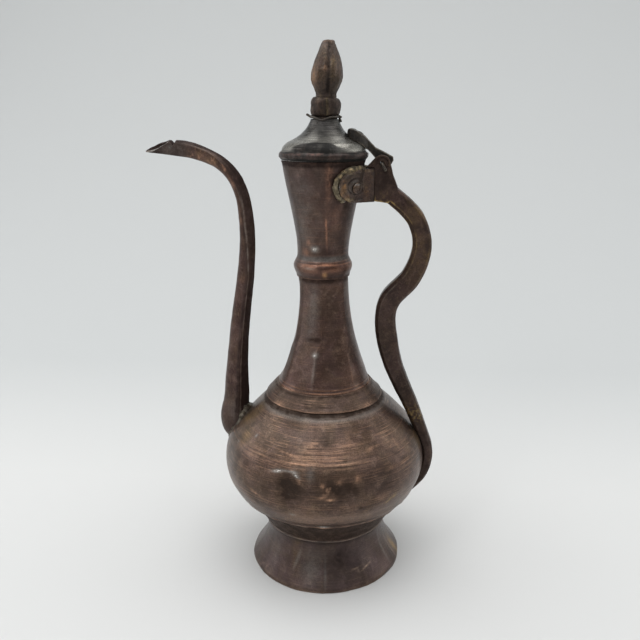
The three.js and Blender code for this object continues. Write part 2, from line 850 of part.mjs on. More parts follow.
// Hinge pin: iron wire with both ends bent over the ears
function hingePin() {
  const outside = slotWidth / 2 + earThickness + pinRadius + pinStandoff;
  const at = (side, along) =>
    new THREE.Vector3(pivotX, side, pivotZ).addScaledVector(pinTailWay, along);
  const points = [
    at(-outside, pinTail),
    at(-outside, pinTail * 0.5),
    at(-outside, pinBendReach),
    at(-outside + pinBendReach, 0),
    at(0, 0),
    at(outside - pinBendReach, 0),
    at(outside, pinBendReach),
    at(outside, pinTail * 0.5),
    at(outside, pinTail),
  ];
  return wire(points, pinRadius, 22);
}

// Finishes
const sheetCopper = { color: 0x5c4034, roughness: 0.5, metalness: 0.8 };
const footCopper = { color: 0x4f3f3a, roughness: 0.55, metalness: 0.75 };
const spoutCopper = { color: 0x4a332e, roughness: 0.45, metalness: 0.8 };
const tinnedCopper = { color: 0x5b5147, roughness: 0.45, metalness: 0.8 };
const castBrass = { color: 0x453828, roughness: 0.55, metalness: 0.75 };
const darkIron = { color: 0x2c2825, roughness: 0.6, metalness: 0.7 };

function piece(name, geometry, finish) {
  const mesh = new THREE.Mesh(geometry, new THREE.MeshStandardMaterial(finish));
  mesh.name = name;
  return mesh;
}

// Assembly. The group slides along X until the middle of its length is over the origin.
const bore = spoutBore();
const holes = [-1, 1].map(saddleRivetHole);
const vessel = new THREE.Group();
vessel.add(
  piece("foot_skirt", footSkirt(), footCopper),
  piece("base_pan", basePan(), sheetCopper),
  piece("body_lower", cutBy(turnedShell(lowerOutline(), wall), bore), sheetCopper),
  piece("body_upper", cutBy(turnedShell(shoulderOutline(), wall), bore), sheetCopper),
  piece("shoulder_collar", turnedShell(collarOutline(), wall), sheetCopper),
  piece("neck_lower", turnedShell(neckOutline(), wall), sheetCopper),
  piece("neck_upper", cutBy(turnedShell(mouthOutline(), wall), ...holes), sheetCopper),
  piece("spout_tube", spoutTube(), spoutCopper),
  piece("handle", handleCasting(), castBrass),
  piece("neck_saddle", neckSaddle(), castBrass),
  piece("saddle_rivet_near", saddleRivet(-1), castBrass),
  piece("saddle_rivet_far", saddleRivet(1), castBrass),
  piece("hinge_pin", hingePin(), darkIron),
);

const lid = new THREE.Group();
lid.add(
  piece("lid_dome", lidDome(), tinnedCopper),
  piece("lid_bezel", lidBezel(), tinnedCopper),
  piece("lid_strap", lidStrap(), darkIron),
  piece("strap_rivet_near", strapRivet(-1), darkIron),
  piece("strap_rivet_far", strapRivet(1), darkIron),
  piece("finial_rove", finialRove(), tinnedCopper),
  piece("finial_knob", finialKnob(), castBrass),
  piece("finial_bud", finialBud(), castBrass),
  piece("finial_wire", finialWire(), darkIron),
);

const ewer = new THREE.Group();
ewer.add(vessel, lid);
const extent = new THREE.Box3().setFromObject(ewer, true);
ewer.position.x = -(extent.min.x + extent.max.x) / 2;

export default ewer;
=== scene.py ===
# Looks of the copper ewer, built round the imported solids. Metres, Z up, in their frame.

import math

import bmesh
import bpy
import numpy as np
from mathutils import Euler, Matrix, Vector


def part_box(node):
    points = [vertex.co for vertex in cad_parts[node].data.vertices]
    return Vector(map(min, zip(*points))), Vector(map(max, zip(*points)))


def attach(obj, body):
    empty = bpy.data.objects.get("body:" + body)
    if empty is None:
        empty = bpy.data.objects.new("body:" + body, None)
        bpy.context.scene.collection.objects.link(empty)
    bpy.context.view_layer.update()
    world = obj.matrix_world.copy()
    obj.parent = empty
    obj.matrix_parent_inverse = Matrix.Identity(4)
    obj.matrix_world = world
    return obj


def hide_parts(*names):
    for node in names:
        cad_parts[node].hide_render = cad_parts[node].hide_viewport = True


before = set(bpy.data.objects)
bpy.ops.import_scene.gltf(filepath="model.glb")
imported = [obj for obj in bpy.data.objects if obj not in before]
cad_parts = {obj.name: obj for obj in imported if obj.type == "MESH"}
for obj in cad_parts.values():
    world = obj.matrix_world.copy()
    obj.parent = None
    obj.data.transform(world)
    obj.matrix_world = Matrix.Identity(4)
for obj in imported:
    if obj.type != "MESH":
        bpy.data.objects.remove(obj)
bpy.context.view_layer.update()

# Sizes in mm. The axis of the vessel is where the pan's middle is.
MM = 0.001
AXIS = (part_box("base_pan")[0][0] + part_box("base_pan")[1][0]) / 2 / MM
WALL = 1.6
SPOUT_WALL = 1.3
LID_WALL = 1.4
ROVE_THICKNESS = 1.4
GAP = 0.3

# Levels of the joints between the lengths of sheet
FOOT_TOP = 35.6
PAN_TOP = 58.4
WIDEST = 85.5
SEAM = 109.3
COLLAR_LOW = 134.9
COLLAR_TOP = 145.1
LAP = 223.6
THROAT = 239.2
MOUTH = 303.6
LID_LOW = 303.9
LID_TOP = 330.5
KNOB_LOW = 330.8
BUD_LOW = 344.4
TOP = 380

# Hinge, handle and spout
PIVOT_X = 40
PIVOT_Z = 301.6
PIVOT = (PIVOT_X, PIVOT_Z)
EAR_RADIUS = 5.7
EAR_OUTSIDE = 6
SLOT_HALF = 3
SLOT_DEPTH = 8.3
PIN_RADIUS = 1.1
HEAD_PLANE = 34.8
HEAD_LOW = 276.2
SADDLE_HEIGHT = 22.2
SADDLE_MIDDLE = HEAD_LOW + SADDLE_HEIGHT / 2
SADDLE_THICKNESS = 3.2
SADDLE_RIVET = 1.8
LOOP_REACH = 68
KNEE_REACH = 44.2
TAIL_LENGTH = 52.5
TAIL_THICK = 7.4
TAIL_THIN = 4.2
SPOUT_BEND = 55
SPOUT_REACH = 124

# Lid, strap and finial
RIM_RADIUS = 30.6
LEAF_LENGTH = 14.4
LEAF_LIFT = 5.2
LEAF_HALF = 8.5
LEAF_RIVET = 1.5
LEAF_RIVET_SIDE = 4.3
HEEL_REACH = 7.6
HEEL_RADIUS = 3.74
BEZEL_DROP = 7.6
BEZEL_PLAY = 0.7
FINIAL_SHIFT = 1.4
FINIAL_LEAN = math.radians(2.9)


# Smooth noise on a lattice of hashed values
def lattice(cell, seed):
    mix = cell[..., 0] * 374761393 + cell[..., 1] * 668265263 + cell[..., 2] * 2246822519
    mix = (mix + seed * 974634777) & 0xFFFFFFFF
    mix = ((mix ^ (mix >> 13)) * 1274126177) & 0xFFFFFFFF
    return ((mix ^ (mix >> 16)) & 0xFFFF) / 65535.0


def grain(points, size, seed):
    """From -1 to 1, with swells about size mm across"""
    spread = np.asarray(points, float) / size
    cell = np.floor(spread).astype(np.int64)
    part = spread - cell
    part = part * part * (3 - 2 * part)
    total = 0
    for corner in np.ndindex(2, 2, 2):
        weight = np.prod(np.where(np.array(corner) == 1, part, 1 - part), axis=-1)
        total = total + weight * lattice(cell + np.array(corner), seed)
    return 2 * total - 1


def lumps(points, *layers):
    """Grains of several sizes added up: size, weight and seed of each"""
    return sum(weight * grain(points, size, seed) for size, weight, seed in layers)


def speckle(points, size, seed, base, weight, most=1.4):
    return np.clip(base + weight * grain(points, size, seed), 0, most)


# Steps and humps of a value
def step(value, low, high):
    share = np.clip((value - low) / (high - low), 0, 1)
    return share * share * (3 - 2 * share)


def fade(value, low, high):
    return 1 - step(value, low, high)


def within(value, low, low_end, high, high_end):
    return step(value, low, low_end) * fade(value, high, high_end)


def hump(value, middle, width, power=2):
    return np.exp(-(((value - middle) / width) ** power))


def lines(height, table):
    """Level lines added up: level, width and strength of each"""
    return sum(strength * hump(height, level, width) for level, width, strength in table)


def ease(share, stops):
    return np.interp(share, *zip(*stops))


# Curves. A bend is a cubic whose handles are shares of the span between its ends.
def bend(start, end, leave, arrive, count):
    start, end = np.array(start, float), np.array(end, float)
    span = end - start
    first, second = start + span * leave, start + span * arrive
    t = np.linspace(0, 1, count + 1)[:, None]
    return (1 - t) ** 3 * start + 3 * (1 - t) ** 2 * t * first + 3 * (1 - t) * t * t * second + t**3 * end


def chain(*runs):
    kept = [np.asarray(runs[0], float)]
    for run in runs[1:]:
        run = np.asarray(run, float)
        kept.append(run[1:] if np.allclose(run[0], kept[-1][-1]) else run)
    return np.vstack(kept)


def arc(centre, radius, start, end, count=16):
    turns = np.radians(np.linspace(start, end, count + 1))
    return [(centre[0] + radius * math.cos(a), centre[1] + radius * math.sin(a)) for a in turns]


def resample(line, spacing):
    """The same open line with even steps"""
    length = np.concatenate([[0], np.cumsum(np.linalg.norm(np.diff(line, axis=0), axis=1))])
    count = max(int(length[-1] / spacing), 2)
    at = np.linspace(0, length[-1], count + 1)
    return np.stack([np.interp(at, length, line[:, k]) for k in range(line.shape[1])], axis=1)


def spans(points):
    """Each stretch of a smooth curve with the points before and after it"""
    ends = [2 * points[0] - points[1], *points, 2 * points[-1] - points[-2]]
    return zip(ends, ends[1:], ends[2:], ends[3:])


class Route:
    """A smooth curve through stations in the XZ plane, read by the share of its length"""

    def __init__(self, stations):
        points = np.array([[x, 0, z] for x, z in stations], float)
        fine = []
        for a, b, c, d in spans(points):
            ta, tb, tc = (np.linalg.norm(side) ** 0.5 for side in (b - a, c - b, d - c))
            leave = ((b - a) / ta - (c - a) / (ta + tb) + (c - b) / tb) * tb
            arrive = ((c - b) / tb - (d - b) / (tb + tc) + (d - c) / tc) * tb
            for t in np.linspace(0, 1, 40, endpoint=False):
                h = [2 * t**3 - 3 * t**2 + 1, t**3 - 2 * t**2 + t, 3 * t**2 - 2 * t**3, t**3 - t**2]
                fine.append(h[0] * b + h[1] * leave + h[2] * c + h[3] * arrive)
        fine.append(points[-1])
        self.line = np.array(fine)
        steps = np.linalg.norm(np.diff(self.line, axis=0), axis=1)
        self.length = np.concatenate([[0], np.cumsum(steps)])

    def at(self, share):
        where = np.clip(share, 0, 1) * self.length[-1]
        return np.array([np.interp(where, self.length, self.line[:, k]) for k in range(3)])

    def stand(self, share):
        """Its point, the way ahead and the way across"""
        nudge = 0.002
        delta = self.at(min(share + nudge, 1)) - self.at(max(share - nudge, 0))
        ahead = delta / np.linalg.norm(delta)
        return self.at(share), ahead, np.array([ahead[2], 0, -ahead[0]])


# Outlines of the outer faces, the same curves as the solids have
def foot_outline():
    hem, waist, top = (57.4, 2.2), (44.7, 28), (46.6, FOOT_TOP)
    flare = bend(hem, waist, (0.52, 0.36), (0.97, 0.63), 24)
    return chain([(57.4, 0), hem], flare, bend(waist, top, (0.05, 0.4), (0.3, 0.8), 8))


def pan_outline():
    return bend((46, FOOT_TOP), (61.8, PAN_TOP), (0.2, 0.25), (0.62, 0.66), 20)


def lower_outline():
    widest = (74.3, WIDEST)
    under = bend((62.3, PAN_TOP), widest, (0.62, 0.325), (1, 0.6), 24)
    return chain(under, bend(widest, (66.2, SEAM), (0, 0.36), (0.32, 0.76), 24))


def upper_outline():
    return bend((66.2, SEAM), (41.4, COLLAR_LOW), (0.31, 0.36), (0.65, 0.69), 24)


def collar_outline():
    return bend((43, COLLAR_LOW), (34.8, COLLAR_TOP), (0.2, 0.28), (0.72, 0.66), 12)


def neck_outline():
    flare = bend((33.4, COLLAR_TOP), (17.6, LAP - 7.6), (0.373, 0.196), (0.981, 0.549), 48)
    return chain(flare, [flare[-1], (17.6, LAP)])


def mouth_outline():
    crest = (20.7, LAP + 7.8)
    swell = bend((18.5, LAP), crest, (0.1, 0.3), (1, 0.6), 10)
    fall = bend(crest, (18, THROAT), (0, 0.35), (1, 0.55), 10)
    flare = bend((18, THROAT), (28.1, MOUTH - 2.6), (-0.02, 0.26), (0.72, 0.69), 48)
    return chain(swell, fall, flare, [flare[-1], (28.9, MOUTH)])


def lid_outline():
    rim, shoulder = (29.4, LID_LOW + 5.4), (25.2, LID_LOW + 11.4)
    swell = bend(rim, shoulder, (0.1, 0.45), (0.6, 0.8), 12)
    sweep = bend(shoulder, (9.8, LID_TOP), (0.45, 0.2), (0.86, 0.5), 24)
    return chain([(RIM_RADIUS, LID_LOW), (RIM_RADIUS, LID_LOW + 4.3)], swell, sweep)


VESSEL = chain(
    pan_outline(), lower_outline(), upper_outline(), collar_outline(), neck_outline(), mouth_outline()
)


def radius_at(height):
    return np.interp(height, VESSEL[:, 1], VESSEL[:, 0])


# Meshes. Points are in mm about the axis of the vessel. Turned sheet has finer steps, in degrees,
# on the side that is seen.
SEEN_FROM, SEEN_TO = -172, 4
FINE_TURN, PLAIN_TURN = 0.9, 2.1
WIRE_SIDES = 14


def in_metres(points):
    return np.asarray(points, float).reshape(-1, 3) * MM + [AXIS * MM, 0, 0]


def mesh_object(name, points, faces):
    mesh = bpy.data.meshes.new(name)
    mesh.from_pydata(in_metres(points).tolist(), [], [list(face) for face in faces])
    mesh.update()
    made = bpy.data.objects.new(name, mesh)
    bpy.context.scene.collection.objects.link(made)
    return made


def skin(name, rings, closed=False):
    """A skin over rings of points, either closed on itself or with flat ends"""
    rings = np.asarray(rings, float)
    count, size = rings.shape[:2]
    faces = []
    for i in range(count if closed else count - 1):
        here, there = i * size, ((i + 1) % count) * size
        for j in range(size):
            k = (j + 1) % size
            faces.append((here + j, here + k, there + k, there + j))
    if not closed:
        faces.append(tuple(range(size))[::-1])
        faces.append(tuple(range((count - 1) * size, count * size)))
    made = mesh_object(name, rings, faces)
    edit = bmesh.new()
    edit.from_mesh(made.data)
    bmesh.ops.recalc_face_normals(edit, faces=edit.faces)
    edit.to_mesh(made.data)
    edit.free()
    return made


def read(made, what):
    flat = np.empty(len(made.data.vertices) * 3)
    made.data.vertices.foreach_get(what, flat)
    return flat.reshape(-1, 3)


def points_of(made):
    return read(made, "co") / MM - [AXIS, 0, 0]


def put_points(made, points):
    made.data.vertices.foreach_set("co", in_metres(points).ravel())
    made.data.update()


def push(made, out):
    """Moves each point along its own normal by so many mm"""
    put_points(made, points_of(made) + read(made, "normal") * out[:, None])


def polar(points):
    """Angle in degrees, height and radius"""
    angle = np.degrees(np.arctan2(points[:, 1], points[:, 0]))
    return angle, points[:, 2], np.hypot(points[:, 0], points[:, 1])


def outward(angle):
    turn = np.radians(angle)
    return np.stack([np.cos(turn), np.sin(turn), 0 * turn], axis=1)


def widened(points, out):
    """Points moved away from the axis by so many mm"""
    scale = 1 + out / np.maximum(np.hypot(points[:, 0], points[:, 1]), 1)
    return points * np.stack([scale, scale, 1 + 0 * scale], axis=1)


def sheet_profile(outline, thickness, spacing):
    """A closed profile: up the outside, down the inside, with its edges eased"""
    line = resample(outline, spacing)
    slope = np.gradient(line, axis=0)
    normal = np.stack([slope[:, 1], -slope[:, 0]], axis=1)
    normal /= np.linalg.norm(normal, axis=1)[:, None]
    inside = line - normal * thickness
    inside[:, 1] = np.clip(inside[:, 1], line[0, 1], line[-1, 1])
    eased = 0.4
    low = [line[0] - normal[0] * eased, line[0] + (line[1] - line[0]) * eased]
    high = [line[-1] + (line[-2] - line[-1]) * eased, line[-1] - normal[-1] * eased]
    return np.vstack([low, line[1:-1], high, inside[::-1]])


def turned(name, profile, relief=None, sides=0):
    """A body turned about Z, finer toward the viewer, from a closed profile or one with capped ends"""
    fine, plain = np.arange(SEEN_FROM, SEEN_TO, FINE_TURN), np.arange(SEEN_TO, SEEN_FROM + 360, PLAIN_TURN)
    angles = np.linspace(0, 2 * np.pi, sides, endpoint=False) if sides else np.radians([*fine, *plain])
    radius, height = profile[:, 0][:, None], profile[:, 1][:, None]
    rings = [radius * np.cos(angles), radius * np.sin(angles), height + 0 * angles]
    made = skin(name, np.stack(rings, axis=-1), np.min(profile[:, 0]) > 0.5)
    if relief:
        put_points(made, relief(points_of(made)))
    return made


def filled(name, outline, grow):
    """A turned body with no hollow, for cutting with"""
    grown = np.asarray(outline, float) + [grow, 0]
    return turned(name, np.vstack([(0.4, outline[0][1]), grown, (0.4, outline[-1][1])]), sides=96)


def swept(name, route, count, section):
    """Rings square to a route. section(share) gives (across, sideways) pairs."""
    rings = []
    for share in np.linspace(0, 1, count + 1):
        centre, _, across = route.stand(share)
        rings.append([centre + across * out + np.array([0, side, 0]) for out, side in section(share)])
    return skin(name, rings)


def circle(centre, radius, first, second):
    turns = np.linspace(0, 2 * np.pi, WIRE_SIDES, endpoint=False)[:, None]
    return centre + radius * (first * np.cos(turns) + second * np.sin(turns))


def wire(name, stations, radius, spacing=0.4):
    """A round wire through points in space, a little uneven"""
    points = np.array(stations, float)
    fine = []
    for a, b, c, d in spans(points):
        for t in np.linspace(0, 1, 12, endpoint=False):
            straight, turn = 2 * b + (c - a) * t, (2 * a - 5 * b + 4 * c - d) * t**2
            fine.append(0.5 * (straight + turn + (3 * b - a - 3 * c + d) * t**3))
    line = resample(np.array([*fine, points[-1]]), spacing)
    ahead = np.gradient(line, axis=0)
    ahead /= np.linalg.norm(ahead, axis=1)[:, None]
    side = np.cross(ahead[0], [0.31, 0.2, 0.93])
    rings = []
    for i, (centre, way) in enumerate(zip(line, ahead)):
        side = side - way * np.dot(side, way)
        side /= np.linalg.norm(side)
        at_end = i in (0, len(line) - 1)
        own = radius * (0.7 if at_end else 1) * (1 + 0.08 * grain(centre[None] + 7, 2.2, 0)[0])
        rings.append(circle(centre, own, side, np.cross(way, side)))
    return skin(name, rings)


def bead(name, loop, radius, seed, lump, closed=True, crown=0.0):
    """A crust of solder along a line, lumpy and half sunk, thicker by its crown near the top"""
    line = resample(np.vstack([loop, loop[:1]]) if closed else np.asarray(loop, float), 0.6)
    top = np.max(line[:, 2])
    if closed:
        line = line[:-1]
        ahead = np.roll(line, -1, axis=0) - np.roll(line, 1, axis=0)
    else:
        ahead = np.gradient(line, axis=0)
    ahead /= np.linalg.norm(ahead, axis=1)[:, None]
    out = outward(polar(line)[0]) + [0, 0, 0.3]
    rings = []
    for i, (centre, way) in enumerate(zip(line, ahead)):
        first = out[i] - way * np.dot(out[i], way)
        first /= np.linalg.norm(first)
        own = radius * (1 + crown * step(centre[2], top - 10, top - 1))
        if not closed:
            own *= min(1, 0.25 + 0.25 * min(i, len(line) - 1 - i))
        ring = circle(centre, own, first, np.cross(way, first))
        swell = 1 + lump * grain(ring, 4.2, seed) + 0.8 * lump * grain(ring, 1.5, seed + 1)
        rings.append(centre + (ring - centre) * swell[:, None])
    return skin(name, rings, closed)


def prism(name, corners, low, high, along="y"):
    """A flat outline drawn in XZ and pushed along Y, or drawn in XY and pushed along Z"""
    rings = [[(x, level, y) if along == "y" else (x, y, level) for x, y in corners] for level in (low, high)]
    return skin(name, rings)


def bar_along_y(radius, half):
    return prism("bar", arc(PIVOT, radius, 0, 360, 32)[:-1], -half, half)


def settle(made):
    graph = bpy.context.evaluated_depsgraph_get()
    mesh = bpy.data.meshes.new_from_object(made.evaluated_get(graph))
    made.modifiers.clear()
    old = made.data
    made.data = mesh
    bpy.data.meshes.remove(old)
    mesh.name = made.name


def cut(made, *others, how="DIFFERENCE"):
    """Cuts or meets a piece with others, which are used up"""
    for other in others:
        tool = made.modifiers.new("cut", "BOOLEAN")
        tool.operation = how
        tool.solver = "EXACT"
        tool.object = other
        settle(made)
        bpy.data.objects.remove(other)
    return made


def cast(made, *others, voxel, smooth):
    """Melts closed meshes into one skin of even fineness, as a casting has"""
    for other in others:
        edit = bmesh.new()
        edit.from_mesh(made.data)
        edit.from_mesh(other.data)
        edit.to_mesh(made.data)
        edit.free()
        bpy.data.objects.remove(other)
    melt = made.modifiers.new("melt", "REMESH")
    melt.mode = "VOXEL"
    melt.voxel_size = voxel * MM
    soften = made.modifiers.new("soften", "SMOOTH")
    soften.iterations = smooth
    soften.factor = 0.5
    settle(made)
    return made


# Spots. One is 1 at its middle and fades to 0 past its half width and half height in mm.
def spot(place, at_angle, at_height, across, up, slant=0):
    angle, height, radius = place
    side = np.radians((angle - at_angle + 180) % 360 - 180) * radius
    rise = height - at_height
    level = side * math.cos(slant) + rise * math.sin(slant)
    steep = rise * math.cos(slant) - side * math.sin(slant)
    return np.exp(-((level / across) ** 2) - (steep / up) ** 2)


def gathered(spots, place):
    """Spots round the axis: angle, height, half width, half height, strength and maybe slant of each"""
    total = 0
    for angle, height, across, up, strength, *slant in spots:
        total = total + strength * spot(place, angle, height, across, up, *slant)
    return total


def flecks(points, spots):
    """Spots seen from the side: x, height, half width, half height and strength of each"""
    x, z = points[:, 0], points[:, 2]
    return sum(most * hump(x, at, wide) * hump(z, level, high) for at, level, wide, high, most in spots)


def facets(angle, edges):
    """How far a polygon with corners at these angles lies inside its circle, as a share of the radius"""
    edges = np.append(edges, edges[0] + 360)
    turn = (angle - edges[0]) % 360 + edges[0]
    side = np.clip(np.searchsorted(edges, turn, side="right") - 1, 0, len(edges) - 2)
    low, high = edges[side], edges[side + 1]
    half, middle = np.radians(high - low) / 2, (low + high) / 2
    return np.cos(half) / np.cos(np.radians(turn - middle)) - 1


# Wear of the vessel's shape: edges in degrees, dents and creases as spots, sag of each joint as
# level, reach and depth, and how far the axis strays toward +X by height
NECK_EDGES = (-150, -89, -34, 30, 95)
NECK_SOFT_EDGES = (-128, -47, 0, 60, 120, 163)
FOOT_EDGES = (-168, -140, -107, -86.5, -52, -20, 10, 38, 70, 110, 150)
FOOT_CREASES = [
    (angle, 12, 2, 14, 0.16, slant) for angle, slant in (
        (-86.5, 0), (-107, -0.16), (-52, -0.05), (-140, 0.05), (10, 0), (70, 0.04), (150, 0),
    )
]
DENTS = (
    (-104, 91, 8, 7.5, -2.6), (-99.5, 101.8, 5.5, 1.7, 0.9, -0.4), (-110, 101.8, 6.5, 1.6, 0.7, 0.2),
    (-66, 82, 7, 6, -0.5), (-52, 92, 10, 7, -0.6), (-113.5, 53.5, 3.2, 1.5, 0.5), (-99, 56, 3.4, 1.3, 0.5),
    (-98.5, 179.5, 4.6, 4.6, -0.75), (-97.5, 171, 2.4, 2.6, 0.45), (-99, 160, 1.6, 12, 0.4, -0.06),
    (-124, 233, 3, 1.5, 0.3), (-109, 244.6, 2.4, 2.6, 0.25),
)
SAGS = (
    (SEAM, 5, 0.95), (PAN_TOP, 3, 1.1), (FOOT_TOP, 2.5, 0.45), (COLLAR_LOW, 3, 0.5), (COLLAR_TOP, 2.5, 0.4),
    (LAP, 4, 0.3),
)
STRAYS = (
    (0, 0), (50, 0), (75, -0.45), (100, -0.45), (118, -0.1), (140, -0.5), (160, -0.2), (215, -0.4),
    (232, -0.75), (250, -0.35), (304, 0.1),
)


def beaten(points):
    """The vessel's sheet as hammering, dents and wear left it"""
    angle, height, radius = place = polar(points)
    way = outward(angle)
    flat = way * 10
    slim = within(height, COLLAR_TOP, COLLAR_TOP + 12, LAP - 8, LAP)
    round_part = fade(height, COLLAR_LOW - 8, COLLAR_TOP)
    out = 0.34 * grain(points, 26, 1) * (0.4 + 0.6 * round_part) + 0.11 * grain(points, 9, 2)
    out += 0.12 * grain(flat + height[:, None] * [0, 0, 0.06], 4.2, 3) * slim
    bent = angle + 10 * fade(height, 171, 181)
    soft = sum(facets(bent + turn, NECK_SOFT_EDGES) for turn in (-7, -3.5, 0, 3.5, 7)) / 5
    out += slim * radius * (0.2 * facets(bent, NECK_EDGES) + 0.2 * soft + 0.058)
    foot, rim = fade(height, 20, 36), fade(height, 0, 22)
    out += gathered(DENTS, place) + gathered(FOOT_CREASES, place) * foot
    out += foot * radius * 0.14 * (facets(angle, FOOT_EDGES) + 0.015)
    out += lumps(flat, (7, 0.55, 4), (2.6, 0.25, 5)) * rim
    out += 0.6 * within(height, 50, 68, 104, 116) + 0.7 * hump(height, 62.5, 4.5)
    out -= 0.5 * hump(height, COLLAR_TOP - 5, 6) * (0.5 + 0.5 * np.cos(np.radians(angle)))
    moved = points + way * out[:, None]
    moved[:, 0] += ease(height, STRAYS)
    for level, reach, depth in SAGS:
        moved[:, 2] += depth * hump(height, level, reach) * lumps(flat + level, (6.5, 1, 6), (2.3, 0.5, 7))
    moved[:, 2] = np.maximum(moved[:, 2], 0)
    return moved


def lapped(*edges):
    """Relief of a sheet with edges that stand proud: level, reach and lift of each"""

    def relief(points):
        return beaten(widened(points, lines(points[:, 2], edges) * (1 + 0.8 * grain(points, 5, 11))))

    return relief


# Vessel
def build_vessel():
    """Each length of sheet by the node that it stands for"""
    hem_height, hem_inside, axis_hole = 2.2, 54.8, 0.4
    foot = sheet_profile(foot_outline(), WALL, 0.9)
    foot[(foot[:, 1] < hem_height) & (foot[:, 0] < 56.5), 0] = hem_inside
    pan = resample(pan_outline(), 1.0)
    floor = FOOT_TOP + WALL
    inner = pan[::-1] - [2.2, 0]
    inner = inner[inner[:, 1] > floor + 0.4]
    base = [(axis_hole, FOOT_TOP), (20, FOOT_TOP), (45.6, FOOT_TOP)]
    floor_line = [(radius - 2 * WALL, floor) for radius in (45.5, 30, 15)] + [(axis_hole, floor)]
    seam_hem = [(radius_at(SEAM - drop), SEAM - drop) for drop in (1.6, 0.8)]
    neck = neck_outline()
    neck[0] = (34.2, COLLAR_TOP - 1.2)
    made = {
        "foot_skirt": turned("foot_sheet", foot, beaten),
        "base_pan": turned("pan_sheet", np.vstack([base, pan, inner, floor_line]), beaten),
    }
    for node, name, outline, spacing, *edges in (
        ("body_lower", "belly_sheet", lower_outline(), 0.8, (PAN_TOP, 1.3, 0.9), (PAN_TOP + 5, 3, 0.2)),
        ("body_upper", "shoulder_sheet", chain(seam_hem, upper_outline()), 0.8,
         (SEAM - 1.2, 1.6, 0.25), (SEAM + 1.8, 0.5, 0.12)),
        ("shoulder_collar", "collar_sheet", collar_outline(), 0.5,
         (COLLAR_LOW + 0.6, 1.0, 0.3), (COLLAR_TOP, 1.2, -0.5)),
        ("neck_lower", "neck_low_sheet", neck, 0.7,
         (COLLAR_TOP + 0.4, 0.6, 0.35), (COLLAR_TOP + 2.6, 0.5, 0.25)),
        ("neck_upper", "neck_high_sheet", mouth_outline(), 0.7,
         (LAP + 0.5, 0.8, 0.25), (LAP + 12.4, 0.6, 0.25)),
    ):
        made[node] = turned(name, sheet_profile(outline, WALL, spacing), lapped(*edges))
    return made


# Spout: an arc of points below and a folded roof above, by shares of its route's length. The two
# cuts say how far its mouth is cut back, from the underside to the crown, on the far and near side.
ARC_POINTS = 25
SPOUT_ROWS = 380
SPOUT_SPAN = 211
ROOT_GAP = 0.25
SPOUT_RINGS = 500
SPOUT_SWELL = (0.4, 0.6, 0.8, 0.9)
NOTCH_X = -103.6
NOTCH_HALF = 1.6
NOTCH_DEPTH = 2.3
SPOUT_HALF = ((0, 13.6), (0.08, 13.6), (0.14, 9.7), (0.3, 7.4), (0.6, 5.4), (0.76, 4.4), (1, 4.7))
SPOUT_FOLD = ((0, 0.36), (0.5, 0.36), (0.63, -0.3), (0.76, -0.3), (0.85, 0.8), (1, 0.9))
CUT_FAR = ((0, 0), (0.27, 2.4), (0.42, 4.6), (0.58, 6.8), (0.73, 9.6), (0.88, 14), (1, 16.6))
CUT_NEAR = ((0, 0), (0.04, 2.2), (0.12, 5.2), (0.32, 8.8), (0.55, 12.2), (0.72, 15), (0.84, 16.3), (1, 16.6))


def spout_route():
    root = radius_at(SEAM)
    stations = (
        (root - 16.3, -0.075), (root + 0.6, -0.002), (root + 0.6, 0.115), (root - 2.2, 0.29),
        (SPOUT_BEND + 1, 0.58), (SPOUT_BEND, 0.7), (SPOUT_BEND + 2.6, 0.808), (SPOUT_BEND + 8.8, 0.872),
        (SPOUT_BEND + 19, 0.916), (SPOUT_BEND + 36, 0.947), (SPOUT_REACH, 0.962),
    )
    return Route([(-x, SEAM + SPOUT_SPAN * share) for x, share in stations])


def spout_section(share, thickness):
    half = ease(share, SPOUT_HALF) + 0.3 * within(share, *SPOUT_SWELL) - thickness
    fold = ease(share, SPOUT_FOLD)
    side, crown = half * 0.86, half * (1 + 0.26 * step(share, 0.78, 0.92))
    turns = np.pi * (0.5 + np.linspace(0, 1, ARC_POINTS))
    under = np.stack([half * (fold + (1 + fold) * np.cos(turns)), side * np.sin(turns)], axis=1)
    low, shoulder = fold * half, fold * half + (crown - fold * half) * 0.62
    corners = [(low, -side), (shoulder, -0.5 * side), (crown, 0), (shoulder, 0.5 * side), (low, side)]
    corner_places, places = (0, 4, 7, 10, 14), np.arange(1, 14)
    roof = [np.interp(places, corner_places, part) for part in zip(*corners)]
    return np.vstack([under, np.stack(roof, axis=1)])


def spout_grid(thickness):
    """Rings of the spout. Toward its end they draw back to the slant cut of the mouth."""
    route = spout_route()
    rings = []
    for share in np.linspace(0, 1, SPOUT_RINGS):
        centre, ahead, across = route.stand(share)
        centre[0] += 0.45 * within(share, *SPOUT_SWELL)
        out, side = spout_section(share, thickness).T[:, :, None]
        level = (out - out.min()) / (out.max() - out.min())
        back = np.where(side < 0, ease(level, CUT_NEAR), ease(level, CUT_FAR)) * step(share, 0.8, 1)
        ring = centre + out * across + side * [0, 1, 0] - back * ahead
        ring[:, 2:] += (1.1 - 0.7 * level) * step(share, 0.9, 1)
        if share > 0.8:
            notch = np.clip(1 - np.abs(ring[:, :1] - NOTCH_X) / NOTCH_HALF, 0, 1)
            ring[:, 2:] -= NOTCH_DEPTH * notch * step(level, 0.45, 0.8)
        rings.append(ring)
    return np.array(rings)


